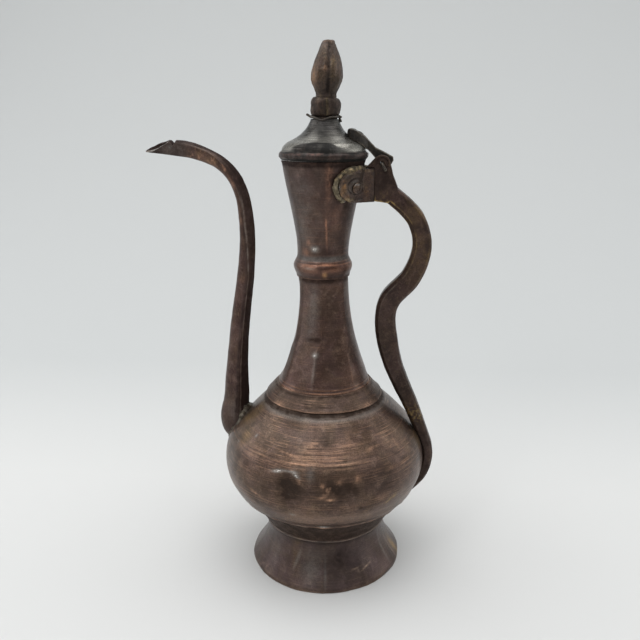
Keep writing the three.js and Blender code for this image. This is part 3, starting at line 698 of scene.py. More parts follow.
def trimmed(grid):
    """The same surface, each of its lines starting where it leaves the belly"""
    depth = np.hypot(grid[..., 0], grid[..., 1]) - radius_at(grid[..., 2]) - ROOT_GAP
    shares, even = np.linspace(0, 1, len(grid)), np.linspace(0, 1, SPOUT_ROWS)
    made = np.empty((SPOUT_ROWS, grid.shape[1], 3))
    for j in range(grid.shape[1]):
        inside = np.nonzero(depth[:, j] < 0)[0]
        last = inside[-1] if len(inside) else 0
        rise = max(depth[last + 1, j] - depth[last, j], 1e-6)
        start = shares[last] - shares[1] * depth[last, j] / rise
        at = start + (1 - start) * ease(even, ((0, 0), (0.55, 0.8), (1, 1)))
        for k in range(3):
            made[:, j, k] = np.interp(at, shares, grid[:, j, k])
    return made


def build_spout():
    """The tube with its marks, and the line where it meets the belly"""
    outer, inner = (trimmed(spout_grid(thickness)) for thickness in (0, SPOUT_WALL))
    made = skin("spout_fold", np.concatenate([outer, inner[::-1]]), True)
    points = points_of(made)
    push(made, lumps(points, (11, 0.2, 21), (4, 0.1, 22)) * step(points[:, 2], 112, 130))
    return mark_spout(made, points), outer[0]


# Handle
HANDLE_HALF = ((0, 6), (0.12, 6.3), (0.3, 7.2), (0.48, 7.5), (0.58, 6.2), (0.75, 4.6), (0.9, 3.9), (1, 2.3))
HANDLE_DEPTH = ((0, 6), (0.6, 6), (1, 5))


def handle_route():
    top = SEAM - 2.6
    bar = (
        (HEAD_PLANE + 8.8, 0.905), (LOOP_REACH - 10.2, 0.844), (LOOP_REACH - 3.2, 0.797),
        (LOOP_REACH + 0.5, 0.71), (LOOP_REACH - 6.2, 0.602), (KNEE_REACH + 2.9, 0.512),
        (KNEE_REACH - 0.1, 0.44), (KNEE_REACH + 5.4, 0.277), (KNEE_REACH + 21.2, 0.086),
    )
    stations = [(x, top + (PIVOT_Z - top) * share) for x, share in bar]
    for share in (0, 0.33, 0.67, 1):
        height = top - TAIL_LENGTH * share
        thickness = TAIL_THICK + (TAIL_THIN - TAIL_THICK) * share
        lift = 0.46 * thickness + 0.2 * (1 - share)
        stations.append((radius_at(height) + lift, height))
    return Route(stations)


def handle_section(share):
    half, depth = ease(share, HANDLE_HALF), ease(share, HANDLE_DEPTH)
    inner = min(2.6, half * 0.6)
    outer = inner * 0.6
    side = [(half, depth - inner), (half - inner, depth), (outer - half, depth), (-half, depth - outer)]
    return side + [(out, -across) for out, across in side[::-1]]


def head_corners():
    back, front, saddle_top = HEAD_PLANE + GAP, HEAD_PLANE + 12.6, HEAD_LOW + SADDLE_HEIGHT + GAP
    ear = arc(PIVOT, EAR_RADIUS, 135, 0, 14)
    return [
        (back, HEAD_LOW + 0.3), (back, saddle_top), (ear[0][0] - (ear[0][1] - saddle_top), saddle_top), *ear,
        (front + GAP, PIVOT_Z - SLOT_DEPTH), (front + 3.4, HEAD_LOW + SADDLE_HEIGHT * 0.42),
        (front + 4, HEAD_LOW + SADDLE_HEIGHT * 0.2), (front - 3, HEAD_LOW - 1),
    ]


def build_handle():
    head = prism("handle_casting", head_corners(), -EAR_OUTSIDE, EAR_OUTSIDE)
    slot_low, slot_high = PIVOT_Z - SLOT_DEPTH, PIVOT_Z + 12
    left, right = PIVOT_X - 12, PIVOT_X + 12
    slot = [(left, slot_low), (right, slot_low), (right, slot_high), (left, slot_high)]
    cut(head, prism("slot", slot, -SLOT_HALF, SLOT_HALF), bar_along_y(PIN_RADIUS + GAP, 12))
    rim = arc(PIVOT, EAR_RADIUS - 0.1, 150, -20, 24)
    rim += arc(PIVOT, EAR_RADIUS - 1.3, -20, 150, 24)
    rims = [prism("rim", rim, low, low + 1.1) for low in (-EAR_OUTSIDE - 0.7, EAR_OUTSIDE - 0.4)]
    made = cast(head, swept("bar", handle_route(), 220, handle_section), *rims, voxel=0.38, smooth=2)
    push(made, lumps(points_of(made), (6, 0.1, 31), (2.2, 0.06, 32)))
    points = points_of(made)
    _, height, radius = polar(points)
    inside = np.where(height < 200, np.maximum(radius_at(height) - 0.5 - radius, 0), 0)
    put_points(made, widened(points, inside))
    return made


# Saddle. Its near and far ends are half discs about DISC_X, and a ring is sunk round DISC_DENT_X.
DISC_HALF = SADDLE_HEIGHT / 2
DISC_X = (radius_at(SADDLE_MIDDLE) + SADDLE_THICKNESS) * math.cos(math.radians(64)) + DISC_HALF
DISC_DENT_X = 23.5


def build_saddle():
    low, high, joint = HEAD_LOW, HEAD_LOW + SADDLE_HEIGHT, HEAD_PLANE + 0.6
    levels = np.linspace(low, high, 12)
    inside = np.stack([radius_at(levels) + GAP, levels], axis=1)
    band = turned("saddle_band", np.vstack([inside + [SADDLE_THICKNESS, 0], inside[::-1]]), sides=96)
    side = [(joint, low), (joint, high), *arc((DISC_X, SADDLE_MIDDLE), DISC_HALF, 90, 270, 24)]
    cut(band, prism("side", side, -60, 60), how="INTERSECT")
    root = radius_at(low)
    flank = bend((joint, EAR_OUTSIDE), (root * 0.78, root * 0.72), (0, 0.25), (0.6, 0.62), 10)
    stem = prism("stem", [*flank, *(flank * [1, -1])[::-1]], low, high, along="z")
    cut(stem, filled("neck", VESSEL[VESSEL[:, 1] > 230], 0.1))
    made = cast(band, stem, voxel=0.34, smooth=2)
    points = points_of(made)
    x, y, z = points.T
    ring = np.hypot((x - DISC_DENT_X) * 1.15, z - SADDLE_MIDDLE)
    near = (y < -8) & (x > 8) & (x < 27.5)
    sunk = 0.2 * hump(ring, 9.6, 0.8) - 0.35 * hump(ring, 5.2, 0.7)
    push(made, lumps(points, (5, 0.14, 41), (1.8, 0.1, 42)) + sunk * near)
    return made


def saddle_bead(name, side):
    loop = []
    for turn in np.radians(np.linspace(52, 236, 34)):
        x = DISC_X - 0.7 + (DISC_HALF + 1.1) * math.cos(turn)
        z = SADDLE_MIDDLE + (DISC_HALF + 0.4) * math.sin(turn)
        radius = radius_at(z) + 1.5
        loop.append((x, side * math.sqrt(max(radius**2 - x**2, 1)), z))
    return bead(name, loop, 2.0, 51 + side, 0.34, closed=False)


def rivet(name, radius, seat, way, grip):
    """A tail below the seat, a shank, and a domed head above the grip"""
    head = radius * 2.1
    tail = head * 0.8
    low = -GAP - radius * 0.7
    dome = bend((head, grip), (0.3, grip + radius), (0, 0.6), (0.5, 1), 8)
    shank = [(0.3, low), (tail * 0.7, low), (tail, -GAP), (radius, -GAP), (radius, grip)]
    made = turned(name, np.vstack([shank, dome]), sides=32)
    push(made, 0.14 * grain(points_of(made) + seat, 1.7, 61))
    turn = Vector((0, 0, 1)).rotation_difference(Vector(way)).to_matrix()
    put_points(made, points_of(made) @ np.array(turn).T + seat)
    return made


def saddle_rivet(name, side):
    slope = math.atan((radius_at(SADDLE_MIDDLE + 2) - radius_at(SADDLE_MIDDLE - 2)) / 4)
    level_way = outward(np.array([side * 35.5]))[0]
    way = level_way * math.cos(slope) - [0, 0, math.sin(slope)]
    inner = radius_at(SADDLE_MIDDLE) - WALL / math.cos(slope)
    seat = level_way * inner + [0, 0, SADDLE_MIDDLE] - GAP * way
    return rivet(name, SADDLE_RIVET, seat, way, WALL + SADDLE_THICKNESS + 3 * GAP)


# Lid
def lid_slope(radius):
    """Height of the lid's outside at a radius, and the way square to it"""
    line = lid_outline()
    i = next(i for i in range(14, len(line)) if line[i][0] < radius)
    (out, high), (inner, low) = line[i - 1], line[i]
    fall = math.atan2(low - high, out - inner)
    height = float(np.interp(-radius, [-out, -inner], [high, low]))
    return height, np.array([math.sin(fall), 0, math.cos(fall)])


def rolled(points):
    """The lid's rim, turned in at its foot and beaten uneven"""
    _, height, radius = polar(points)
    foot = fade(height, LID_LOW, LID_LOW + 2.3) * (radius > 28)
    bulge = hump(height, LID_LOW + 3.2, 1.3) * (radius > 27)
    crease = hump(height, LID_LOW + 6.4, 0.9) * (radius > 24)
    rough = 0.6 + 0.8 * grain(points, 4.5, 75)
    moved = widened(points, 0.3 * (bulge - crease) * rough - 1.4 * foot - 0.35)
    moved[:, 2] -= 0.014 * points[:, 0]
    return moved


def lid_relief(points):
    points = rolled(points)
    angle, height, _ = polar(points)
    way = outward(angle)
    band = fade(height, LID_LOW + 3.2, LID_LOW + 6)
    cone = step(height, LID_LOW + 12, LID_LOW + 15)
    out = 0.2 * grain(points, 11, 71) + band * lumps(points, (7, 0.3, 72), (2.6, 0.2, 73))
    out += cone * (0.05 * np.sin(height * 5.2) + 0.1 * grain(points * [0.2, 0.2, 1], 1.4, 76))
    moved = points + way * out[:, None]
    moved[:, 0] += 0.05 * np.maximum(height - LID_LOW, 0)
    moved[:, 2] += 0.5 * band * step(height, LID_LOW + 0.5, LID_LOW + 4) * grain(way * 10, 2.8, 74)
    return moved


def build_lid():
    shell = sheet_profile(lid_outline(), LID_WALL, 0.5)
    split, hole = np.argmax(shell[:, 1]) + 1, 3.1
    inside = shell[split:]
    inside = inside[inside[:, 1] < LID_TOP - LID_WALL]
    profile = np.vstack([shell[:split], (hole, LID_TOP), (hole, LID_TOP - LID_WALL), inside])
    low, top = MOUTH - BEZEL_DROP, LID_LOW + 1.2
    ring = radius_at(low) - WALL - BEZEL_PLAY
    flange = RIM_RADIUS - LID_WALL * 1.2 - GAP
    bezel = np.array([
        (ring, low), (ring + 0.1, LID_LOW - 0.4), (ring + 0.4, LID_LOW), (flange, LID_LOW), (flange, top),
        (ring - 1.2, top), (ring - 1.2, low),
    ])
    return turned("lid_cap", profile, lid_relief), turned("lid_ring", bezel)


def build_strap():
    leaf_end = RIM_RADIUS - LEAF_LENGTH
    leaf_top, leaf_foot = lid_slope(leaf_end + 2)[0] + LEAF_LIFT, lid_slope(25.2)[0]
    heel = PIVOT_X + HEEL_REACH
    side = [
        (leaf_end, leaf_top - 3.1), (leaf_end + 0.6, leaf_top - 0.6), (leaf_end + 2.4, leaf_top),
        (leaf_end + 5, leaf_top - 0.6), (27.8, leaf_foot + 4.4), (PIVOT_X - 4.4, PIVOT_Z + EAR_RADIUS + 4.5),
        (PIVOT_X + HEEL_REACH * 0.6, PIVOT_Z + EAR_RADIUS), (heel - 0.3, PIVOT_Z + EAR_RADIUS * 0.75),
        (heel, PIVOT_Z + 1.8), (PIVOT_X + HEEL_REACH * 0.76, PIVOT_Z - 1.4),
        *arc(PIVOT, HEEL_RADIUS, -17, -180, 14), (PIVOT_X - 5, PIVOT_Z + 4),
        (30.2, LID_LOW + 6.6), (25.2, leaf_foot - 2), (leaf_end + 1, leaf_foot),
    ]
    half, widest = 2.6, (leaf_end + 6.8, LEAF_HALF)
    edge = chain(
        bend((leaf_end, 0), widest, (0, 0.67), (0.33, 1), 10),
        bend(widest, (RIM_RADIUS, half), (0.35, 0), (0.67, 0.67), 10),
        [(RIM_RADIUS, half), (PIVOT_X + 15, half)],
    )
    plan = [*edge, *(edge * [1, -1])[::-1][:-1]]
    made = prism("strap_leaf", side, -LEAF_HALF - 1, LEAF_HALF + 1)
    cut(made, prism("plan", plan, PIVOT_Z - 12, PIVOT_Z + 50, along="z"), how="INTERSECT")
    cut(made, filled("lid_tool", lid_outline(), 0.2), bar_along_y(PIN_RADIUS + GAP, 20))
    cast(made, voxel=0.3, smooth=3)
    push(made, lumps(points_of(made), (5, 0.14, 81), (1.9, 0.09, 82)))
    return made


def strap_rivet(name, side):
    along, across = RIM_RADIUS - LEAF_LENGTH * 0.58, side * LEAF_RIVET_SIDE
    height, (lean, _, rise) = lid_slope(math.hypot(along, across))
    turn = math.atan2(across, along)
    way = np.array([lean * math.cos(turn), lean * math.sin(turn), rise])
    seat = np.array([along, across, height]) - way * (LID_WALL + 2 * GAP)
    return rivet(name, LEAF_RIVET, seat, way, LID_WALL + LEAF_LIFT * 0.86 + 3 * GAP)


# Finial
def leaned(made):
    points = points_of(made)
    points[:, 0] += FINIAL_SHIFT + math.tan(FINIAL_LEAN) * (points[:, 2] - LID_TOP)
    put_points(made, points)
    return made


def build_knob():
    """A squarish nut with four lobes, bedded on the crown of the lid"""
    waist, reach, hole = 7.8, 10.7, 2.8
    body, top = KNOB_LOW + 1.6, BUD_LOW - 0.6
    profile = chain(
        [(8.6, KNOB_LOW - 0.7), (8.2, KNOB_LOW + 0.4), (waist, body - 0.3)],
        bend((waist + 0.6, body), (reach, body + 4), (0.85, 0.1), (1, 0.5), 8),
        bend((reach, top - 3.4), (waist - 0.4, top + 0.6), (0, 0.55), (0.5, 1), 10),
        [(6.4, top + 0.9), (hole, top + 0.9), (hole, KNOB_LOW - 0.7)],
    )

    def relief(points):
        angle, height, radius = polar(points)
        folds = (0.5 + 0.5 * np.cos(4 * np.radians(angle + 80))) ** 5
        folds = 0.19 * folds * np.clip((radius - waist) / (reach - waist), 0, 1)
        swell = step(radius, 5, 7) * lumps(points, (5, 0.3, 91), (1.5, 0.12, 92))
        moved = widened(points, swell - folds * radius)
        moved[:, 2] -= 0.07 * (points[:, 0] + 4) * step(height, body, top)
        return moved

    return leaned(turned("finial_nut", resample(profile, 0.5), relief, sides=160))


def build_bud():
    """A bud cut by hand, with a peg that goes down through the nut and the lid"""
    peg, peened = 2.5, 3.8
    foot, waist, widest = (7.0, BUD_LOW - 0.6), (6.9, BUD_LOW + 1.6), (10.7, BUD_LOW + 13.4)
    taper = bend(widest, (4.5, TOP - 1.6), (0, 0.36), (0.7, 0.72), 34)
    end = LID_TOP - LID_WALL - ROVE_THICKNESS - 3 * GAP
    profile = chain(
        [(0.3, end - 1.3), (peened, end - 1.3), (peened, end), (peg, end), (peg, foot[1])],
        bend(foot, waist, (0.1, 0.3), (0.6, 0.8), 6), bend(waist, widest, (0.15, 0.3), (1, 0.55), 28),
        taper, [taper[-1], (4.0, TOP - 0.5), (3.0, TOP), (0.3, TOP)],
    )

    def relief(points):
        angle, height, radius = polar(points)
        outer = step(radius, 3.5, 6) * step(height, BUD_LOW, BUD_LOW + 5)
        ribs = (0.5 + 0.5 * np.cos(4 * np.radians(angle + 76) + 0.5 * grain(points, 14, 94))) ** 9
        dug = 0.3 * grain(points * [1, 1, 0.22], 2.6, 95) + 0.18 * grain(points, 1.4, 96) - 0.95 * ribs
        moved = widened(points, outer * dug)
        moved[:, 2] -= 0.45 * step(height, TOP - 6, TOP) * (1 + grain(points, 2.5, 97))
        return moved

    return leaned(turned("bud_casting", profile, relief, sides=160))


def turns_of_wire(around, level, start, sweep, count):
    """Points of a turn of wire, by its angles in half circles"""
    turns = math.pi * (start + sweep * np.linspace(0, 1, count))
    return np.stack([around * np.cos(turns), around * np.sin(turns), level + 0 * turns], axis=1)


def build_tie():
    """Thick black wire round the foot of the nut, its ends left standing"""
    around, level = 9.6, KNOB_LOW + 0.9
    ring = turns_of_wire(around, level, 1.1, 0.86, 15)
    ring[:, 2] -= 2 * hump(np.linspace(1.1, 1.96, 15), 1.46, 0.42 / math.pi)
    ends = [(-around - 3.0, -1.5, level + 1.9), (-around - 1.2, -1.8, level + 0.9)]
    ends += [(around + 0.4, -0.2, level - 1.6), (around + 1.2, 0.8, level - 3.2)]
    return leaned(wire("tie_wire", [*ends[:2], *ring, *ends[2:]], 0.78))


def build_tie_end():
    """A second turn of the wire at the far side and the stub beside it"""
    around, level = 9.4, KNOB_LOW + 1.2
    stub = [(around + 1.9, -2.4, level - 0.6), (around - 0.2, -3.2, level + 0.4)]
    return leaned(wire("tie_wire_back", [*stub, *turns_of_wire(around, level + 0.3, -0.06, 1.12, 11)], 0.7))


def build_pin():
    """Bent iron wire through both ears, with a tail hanging down at each side"""
    outside, reach = SLOT_HALF + 3 + PIN_RADIUS + 0.5, 1.4
    half = [(outside, 5.6), (outside, 2.8), (outside, reach), (outside - reach, 0)]
    run = [(-side, along) for side, along in half] + [(0, 0)] + half[::-1]
    stations = [(PIVOT_X + 0.5 * along, side, PIVOT_Z - 0.866 * along) for side, along in run]
    return wire("pin_wire", stations, PIN_RADIUS * 0.95, 0.5)


def build_rove():
    high, hole, edge = LID_TOP - LID_WALL - GAP, 2.9, 6
    low = high - ROVE_THICKNESS
    profile = np.array([(edge, low), (edge, high), (hole, high), (hole, low)])
    return leaned(turned("rove_disc", profile, sides=64))


# Marks on each point: worn copper, grime_and_shade (grime, painted shade, painted shadows and painted dark
# reflections), grey (a pale film, painted highlights, sheens and glints) and brass, kept in one colour
# attribute
def ridges(made, passes):
    """How sharply each point stands out of the skin (+) or lies in a fold (-), in 1/mm"""
    edges = np.empty(len(made.data.edges) * 2, np.int64)
    made.data.edges.foreach_get("vertices", edges)
    first, second = edges.reshape(-1, 2).T
    points, count = points_of(made), len(made.data.vertices)
    here, there = np.concatenate([first, second]), np.concatenate([second, first])
    near = np.maximum(np.bincount(here, minlength=count), 1)

    def mean(values):
        return np.bincount(here, values[there], count) / near

    middle = np.stack([mean(points[:, k]) for k in range(3)], axis=1)
    gaps = np.bincount(here, np.linalg.norm(points[here] - points[there], axis=1), count) / near
    bulge = np.sum((points - middle) * read(made, "normal"), axis=1) / np.maximum(gaps, 0.05) ** 2
    for _ in range(passes):
        bulge = 0.5 * bulge + 0.5 * mean(bulge)
    return bulge


def surface(made, sharp, passes, *layers, base=0.5):
    """Points of a piece, its proud edges, its folds and its patches"""
    points, bulge = points_of(made), ridges(made, passes) / sharp
    return points, np.clip(bulge, 0, 1), np.clip(-bulge, 0, 1), base + lumps(points, *layers)


def mark(made, worn=0.0, grime_and_shade=0.0, grey=0.0, brass=0.0):
    layers = np.zeros((len(made.data.vertices), 4), np.float32)
    for k, value in enumerate((worn, grime_and_shade, grey, brass)):
        layers[:, k] = np.clip(value, 0, 1)
    made.data.attributes.new("marks", "FLOAT_COLOR", "POINT").data.foreach_set("color", layers.ravel())
    made.data.color_attributes.active_color = made.data.color_attributes["marks"]
    return made


# Spots of the vessel's sheet: angle, height, half width, half height, strength and maybe slant
WORN_SPOTS = (
    (-88, 111.4, 19, 1.6, 0.12), (-107, 112.5, 8, 0.6, 0.5, -0.12), (-104, 108, 10, 2.4, 0.2),
    (-98, 98.6, 2, 1.8, 0.8, -0.5), (-85.7, 96.4, 1.4, 1.7, 1.2), (-83.1, 93.7, 1.3, 2, 0.9),
    (-81.6, 95.2, 1.1, 1.4, 1), (-86.6, 88.3, 2.4, 0.9, 0.9), (-81.6, 86.8, 2.6, 0.9, 1.1),
    (-84, 90.6, 2.2, 2.6, 0.6, 0.3), (-76.7, 98.6, 2.4, 1.2, 1.5), (-66.3, 99.2, 2.2, 2, 1.4, 0.5),
    (-71.6, 98.2, 3.4, 0.6, 0.6), (-80, 91, 3, 3.5, 0.35), (-124.5, 83, 6, 0.9, 0.8, -0.3),
    (-33, 111.8, 1.8, 3, 0.3, 0.3), (-67.4, 120, 1.6, 4, 0.15), (-94, 118, 3, 1, 0.5),
    (-75, 116, 12, 3, 0.12, 0.1), (-84, 69, 34, 5, 0.32), (-55, 113.5, 3, 0.8, 0.7, 0.2),
    (-45, 100.5, 4, 1, 0.6), (-52, 82, 4, 3, 0.3, 0.4), (-99, 56.6, 3.2, 1, 0.6, -0.2),
    (-85, 59.3, 3.4, 0.9, 0.6), (-93, 57.4, 16, 0.5, 0.5, 0.1), (-120, 47, 5, 5, 0.3, 0.2),
    (-110, 232.3, 3.6, 0.9, 1), (-80.6, 234.8, 6, 0.7, 1, 0.05), (-82.6, 227.9, 1.4, 2, 0.8),
    (-78.6, 255.4, 0.7, 7, 0.55, 0.05), (-79.6, 263, 0.6, 3, 0.6, 0.05), (-118, 249.9, 1.5, 2, 0.6),
    (-127.9, 242.6, 3, 2.2, 0.6), (-76, 295, 2.4, 16, 0.5), (-60, 268, 5, 9, 0.25),
    (-48, 11.5, 5, 0.4, 0.7, 0.25), (-58, 12.5, 4, 0.35, 0.6, 0.1), (-10, 10, 0.8, 10, 0.6),
    (-134, 136.6, 4, 1.6, 0.6), (-36, 136.5, 6, 1.2, 0.6), (60, 90, 10, 5, 0.5, 0.2),
    (120, 98, 9, 4, 0.5, -0.2), (40, 74, 7, 4, 0.4, 0.2), (175, 70, 8, 5, 0.4, 0.1),
    (95, 60, 9, 3, 0.4, 0.1),
)
# Stains, and painted shade: the two spots at -105 and -104 degrees near height 92 are the painted dark
# inside of the belly's dent
STAIN_AND_SHADE_SPOTS = (
    (-76, 95.5, 19, 8, 0.7), (-68, 91, 34, 9, 0.4), (-105, 91.5, 11, 10, 0.7), (-104, 92.5, 7, 7.5, 1.1),
    (-121, 89, 9, 6, 0.6, 0.1), (-124, 76, 7, 2.4, 0.5, -0.4), (-65.3, 77.8, 2.4, 1.9, 1.1),
    (-82, 120.5, 5, 3.6, 0.6), (-71.6, 110, 2.6, 0.7, 0.8), (-52, 103, 12, 5, 0.3),
    (-46, 88, 8, 7, 0.25, 0.2), (-106, 181, 5, 1.7, 1), (-97, 181.5, 4, 1.5, 0.8), (-70, 195, 6.5, 22, 0.5),
    (-72, 160, 7, 16, 0.45, 0.06), (-30, 190, 4, 30, 0.5), (-157, 129, 6, 5, 0.6), (-70, 22, 11, 9, 0.85),
    (-74, 10, 10, 8, 0.5), (-98, 26, 8, 5, 0.3), (-60, 292, 9, 5, 0.6), (-40, 272, 8, 16, 0.6),
    (-66, 280, 5, 14, 0.4), (-68.6, 223, 2, 1.6, 1.2), (-50, 252, 5, 9, 0.4), (40, 275, 9, 12, 0.55),
    (80, 120, 12, 6, 0.4), (130, 85, 9, 7, 0.4), (20, 100, 8, 6, 0.4), (110, 20, 9, 10, 0.4),
)
# A pale dust film, and painted highlights: the crest over the dent, the crests at the pan's edge, bright
# spots on the neck and bead, the pale band on the lower neck, and painted sheen streaks on the foot
DUST_AND_HIGHLIGHT_SPOTS = (
    (-111, 102.8, 3.6, 0.8, 1.8, 0.15), (-104, 103.8, 6, 0.6, 1.0), (-99.6, 102, 2.6, 0.8, 2.2, -0.55),
    (-104, 88, 0.9, 0.9, 0.9), (-92, 103, 3, 4, 0.4), (-137.1, 115.9, 0.8, 0.9, 1.2),
    (-149, 108, 0.8, 0.8, 1.1), (-75, 70, 32, 5, 0.12), (-104, 68, 18, 3, 0.1), (-40, 76, 14, 8, 0.2, 0.3),
    (-99, 57.8, 3.2, 0.8, 2.4, -0.2), (-85, 60.4, 3, 0.8, 2.4), (-102, 72.5, 2, 1, 0.6),
    (-110, 120, 22, 6, 0.12), (-150, 96, 12, 20, 0.15), (-108, 205, 4.2, 15, 0.4), (-112, 186, 3.4, 5, 0.3),
    (-99.6, 171, 2, 1.8, 1.2, 0.3), (-100, 160, 1.1, 9, 0.45, -0.03), (-108, 165, 5, 14, 0.12),
    (-128, 190, 5, 26, 0.12), (-104.3, 245.2, 2.4, 1.9, 1.1), (-118, 262, 6, 16, 0.15),
    (-120, 285, 9, 16, 0.15), (-140, 255, 5, 40, 0.15), (-100, 238, 14, 1.7, 0.35), (-60, 238, 8, 1.6, 0.2),
    (-112, 232, 4, 0.8, 0.8), (-96, 16, 7, 10, 0.3), (-110, 20, 1.2, 7, 0.35, -0.25),
    (-84.5, 12, 0.8, 10, 0.3), (-48, 18, 9, 9, 0.1), (-135, 20, 6, 12, 0.15), (-22, 18, 1.2, 14, 0.4),
    (60, 200, 6, 20, 0.2), (120, 260, 7, 20, 0.2), (90, 125, 16, 6, 0.15),
)
BRASS_SPOTS = (
    (-47.8, 77.7, 3, 0.9, 1, 0.6), (-44, 79.5, 1.5, 0.9, 0.9, 0.6), (-3, 8, 4, 7, 0.9),
    (-146, 112, 5, 4, 0.4), (-157, 127, 5, 5, 0.6), (-163, 118, 8, 5, 0.5), (165, 118, 8, 5, 0.5),
    (-8, 104, 5, 5, 0.5), (8, 104, 5, 5, 0.5), (-82.6, 227.6, 1.4, 2, 0.5), (-112, 30, 4, 20, 0.15),
)

# Lines of the vessel's sheet: level, width, strength
RUBBED_LINES = (
    (SEAM - 0.7, 0.4, 0.9), (SEAM + 1.2, 0.3, 0.6), (SEAM + 3.2, 0.3, 0.4), (SEAM - 3.4, 0.3, 0.5),
    (SEAM + 5, 0.3, 0.3), (SEAM + 8, 0.3, 0.25), (COLLAR_LOW + 0.5, 0.4, 0.4), (COLLAR_TOP + 0.3, 0.35, 0.8),
    (COLLAR_TOP + 2.6, 0.3, 0.4), (FOOT_TOP + 0.4, 0.3, 0.15), (PAN_TOP + 0.5, 0.6, 0.4),
    (LAP + 7.4, 1.6, 0.25), (LAP + 10.6, 0.5, 0.5), (THROAT + 1.2, 0.6, 0.2), (0.8, 0.8, 0.3),
    (80, 0.35, 0.2), (96.5, 0.3, 0.25),
)
# The line under COLLAR_LOW is a painted shadow below the collar's overhanging edge; the others darken the
# other joints
DARK_LINES = (
    (COLLAR_LOW - 1.8, 1.6, 0.9), (COLLAR_TOP - 1.4, 0.9, 0.35), (FOOT_TOP - 2, 1.4, 0.35),
    (LAP - 1, 2, 0.8), (THROAT, 1.4, 0.4),
)
GREY_LINES = ((COLLAR_LOW - 3.4, 1.8, 0.35), (THROAT - 0.6, 1.5, 0.35), (FOOT_TOP, 0.5, 0.3))

# Flecks of spout, finial and saddle: x, height, half width, half height, strength
SPOUT_RUST = (
    (-69, 300, 1.2, 1.2, 1.2), (-67.6, 297.6, 1.1, 1.1, 1), (-76, 301.5, 2.4, 2.4, 0.4),
    (-64, 291, 3, 3, 0.25), (-84, 306, 3, 3, 0.25), (-62.5, 287, 2, 2, 0.4), (-58, 262, 2.5, 2.5, 0.25),
    (-58, 220, 3, 3, 0.2),
)
SPOUT_GOLD = (
    (-79, 303.5, 2.4, 2.4, 0.2), (-74.5, 302, 1.6, 1.6, 0.25), (-122, 309, 3, 3, 0.4),
    (-100, 316.5, 1.4, 1.4, 0.5), (-86, 308, 2.4, 2.4, 0.15),
)
SPOUT_GREY = (
    (-105.5, 312.5, 1.3, 1.3, 1), (-100, 313, 6, 6, 0.4), (-112, 310, 7, 7, 0.35), (-66, 120, 7, 7, 0.4),
)
FINIAL_RED = ((-5.5, 357, 3, 7, 0.7), (3, 362, 1.8, 1.6, 0.8))
FINIAL_OCHRE = ((8, 357, 3, 10, 0.5),)
SADDLE_WORN = (
    (16, SADDLE_MIDDLE + 1, 1.8, 4, 1.1), (14.5, SADDLE_MIDDLE - 4, 1.4, 3, 0.8),
    (18, SADDLE_MIDDLE - 7, 2, 2, 0.8), (30, SADDLE_MIDDLE - 4, 1.6, 8, 0.3),
)
SADDLE_BRASS = (
    (18.5, SADDLE_MIDDLE - 8.6, 3, 1.4, 1), (21, SADDLE_MIDDLE + 9.8, 2.4, 1.4, 0.9),
    (31, SADDLE_MIDDLE + 10, 4, 0.8, 0.4),
)
SADDLE_GREY = ((22.5, SADDLE_MIDDLE + 0.5, 5.5, 6, 0.55), (13, SADDLE_MIDDLE - 1.5, 0.7, 2.5, 1))
SADDLE_GRIME = ((HEAD_PLANE, SADDLE_MIDDLE, 1.2, 14, 0.4), (20, SADDLE_MIDDLE + 3, 2, 6, 0.3))


def mark_sheet(made):
    """Rubbed lines along the seams, stains, bare spots and a pale dusty coat, with painted shadows under the
    seam, the collar's edge and the lid, painted shade in the dent and painted highlights
    """
    points, proud, folded, patch = surface(made, 0.14, 2, (7, 0.5, 101), (2.4, 0.4, 102))
    angle, height, _ = place = polar(points)
    around = np.clip(0.5 + 0.6 * grain(points * [1, 1, 0.2], 9, 103), 0.05, 1.2)
    around = around * np.where(np.abs(height - SEAM) < 8, 0.1 + hump(angle, -86, 17), 1)
    wave = 0.3 * grain(points * [1, 1, 0], 14, 104)
    fine = speckle(points * [1, 1, 0.5], 1.1, 105, 0.6, 1.0)
    worn = lines(height - wave, RUBBED_LINES) * around + 0.4 * proud * patch
    worn = worn + gathered(WORN_SPOTS, place) * (0.3 + 0.4 * patch + 0.5 * fine)
    # the hump just under SEAM is a painted shadow beneath the shoulder's lapped edge
    grime_and_shade = lines(height, DARK_LINES) + 0.8 * hump(height, SEAM - 2.2, 0.6) * around
    grime_and_shade = grime_and_shade + 0.8 * within(height, FOOT_TOP, FOOT_TOP + 3, PAN_TOP - 3, PAN_TOP)
    grime_and_shade = grime_and_shade + 0.35 * within(height, COLLAR_LOW, COLLAR_LOW + 1, COLLAR_TOP - 1, COLLAR_TOP + 1)
    # the last term is a painted shadow at the top of the mouth, under the lid's rim
    grime_and_shade = grime_and_shade + 0.3 * step(height, THROAT + 20, MOUTH) + 0.8 * step(height, MOUTH - 5, MOUTH - 1)
    grime_and_shade = grime_and_shade + 0.4 * folded + gathered(STAIN_AND_SHADE_SPOTS, place) * (0.6 + 0.4 * patch)
    grime_and_shade = grime_and_shade - 0.8 * np.clip(worn - 0.3, 0, 1)
    # DUST_AND_HIGHLIGHT_SPOTS: pale dust film plus painted highlights and glints
    grey = gathered(DUST_AND_HIGHLIGHT_SPOTS, place) * (0.5 + 0.6 * patch)
    grey = grey + 0.06 * step(height, THROAT, THROAT + 12) * patch + lines(height, GREY_LINES)
    return mark(made, worn, grime_and_shade, grey, gathered(BRASS_SPOTS, place) * (0.5 + 0.8 * patch))


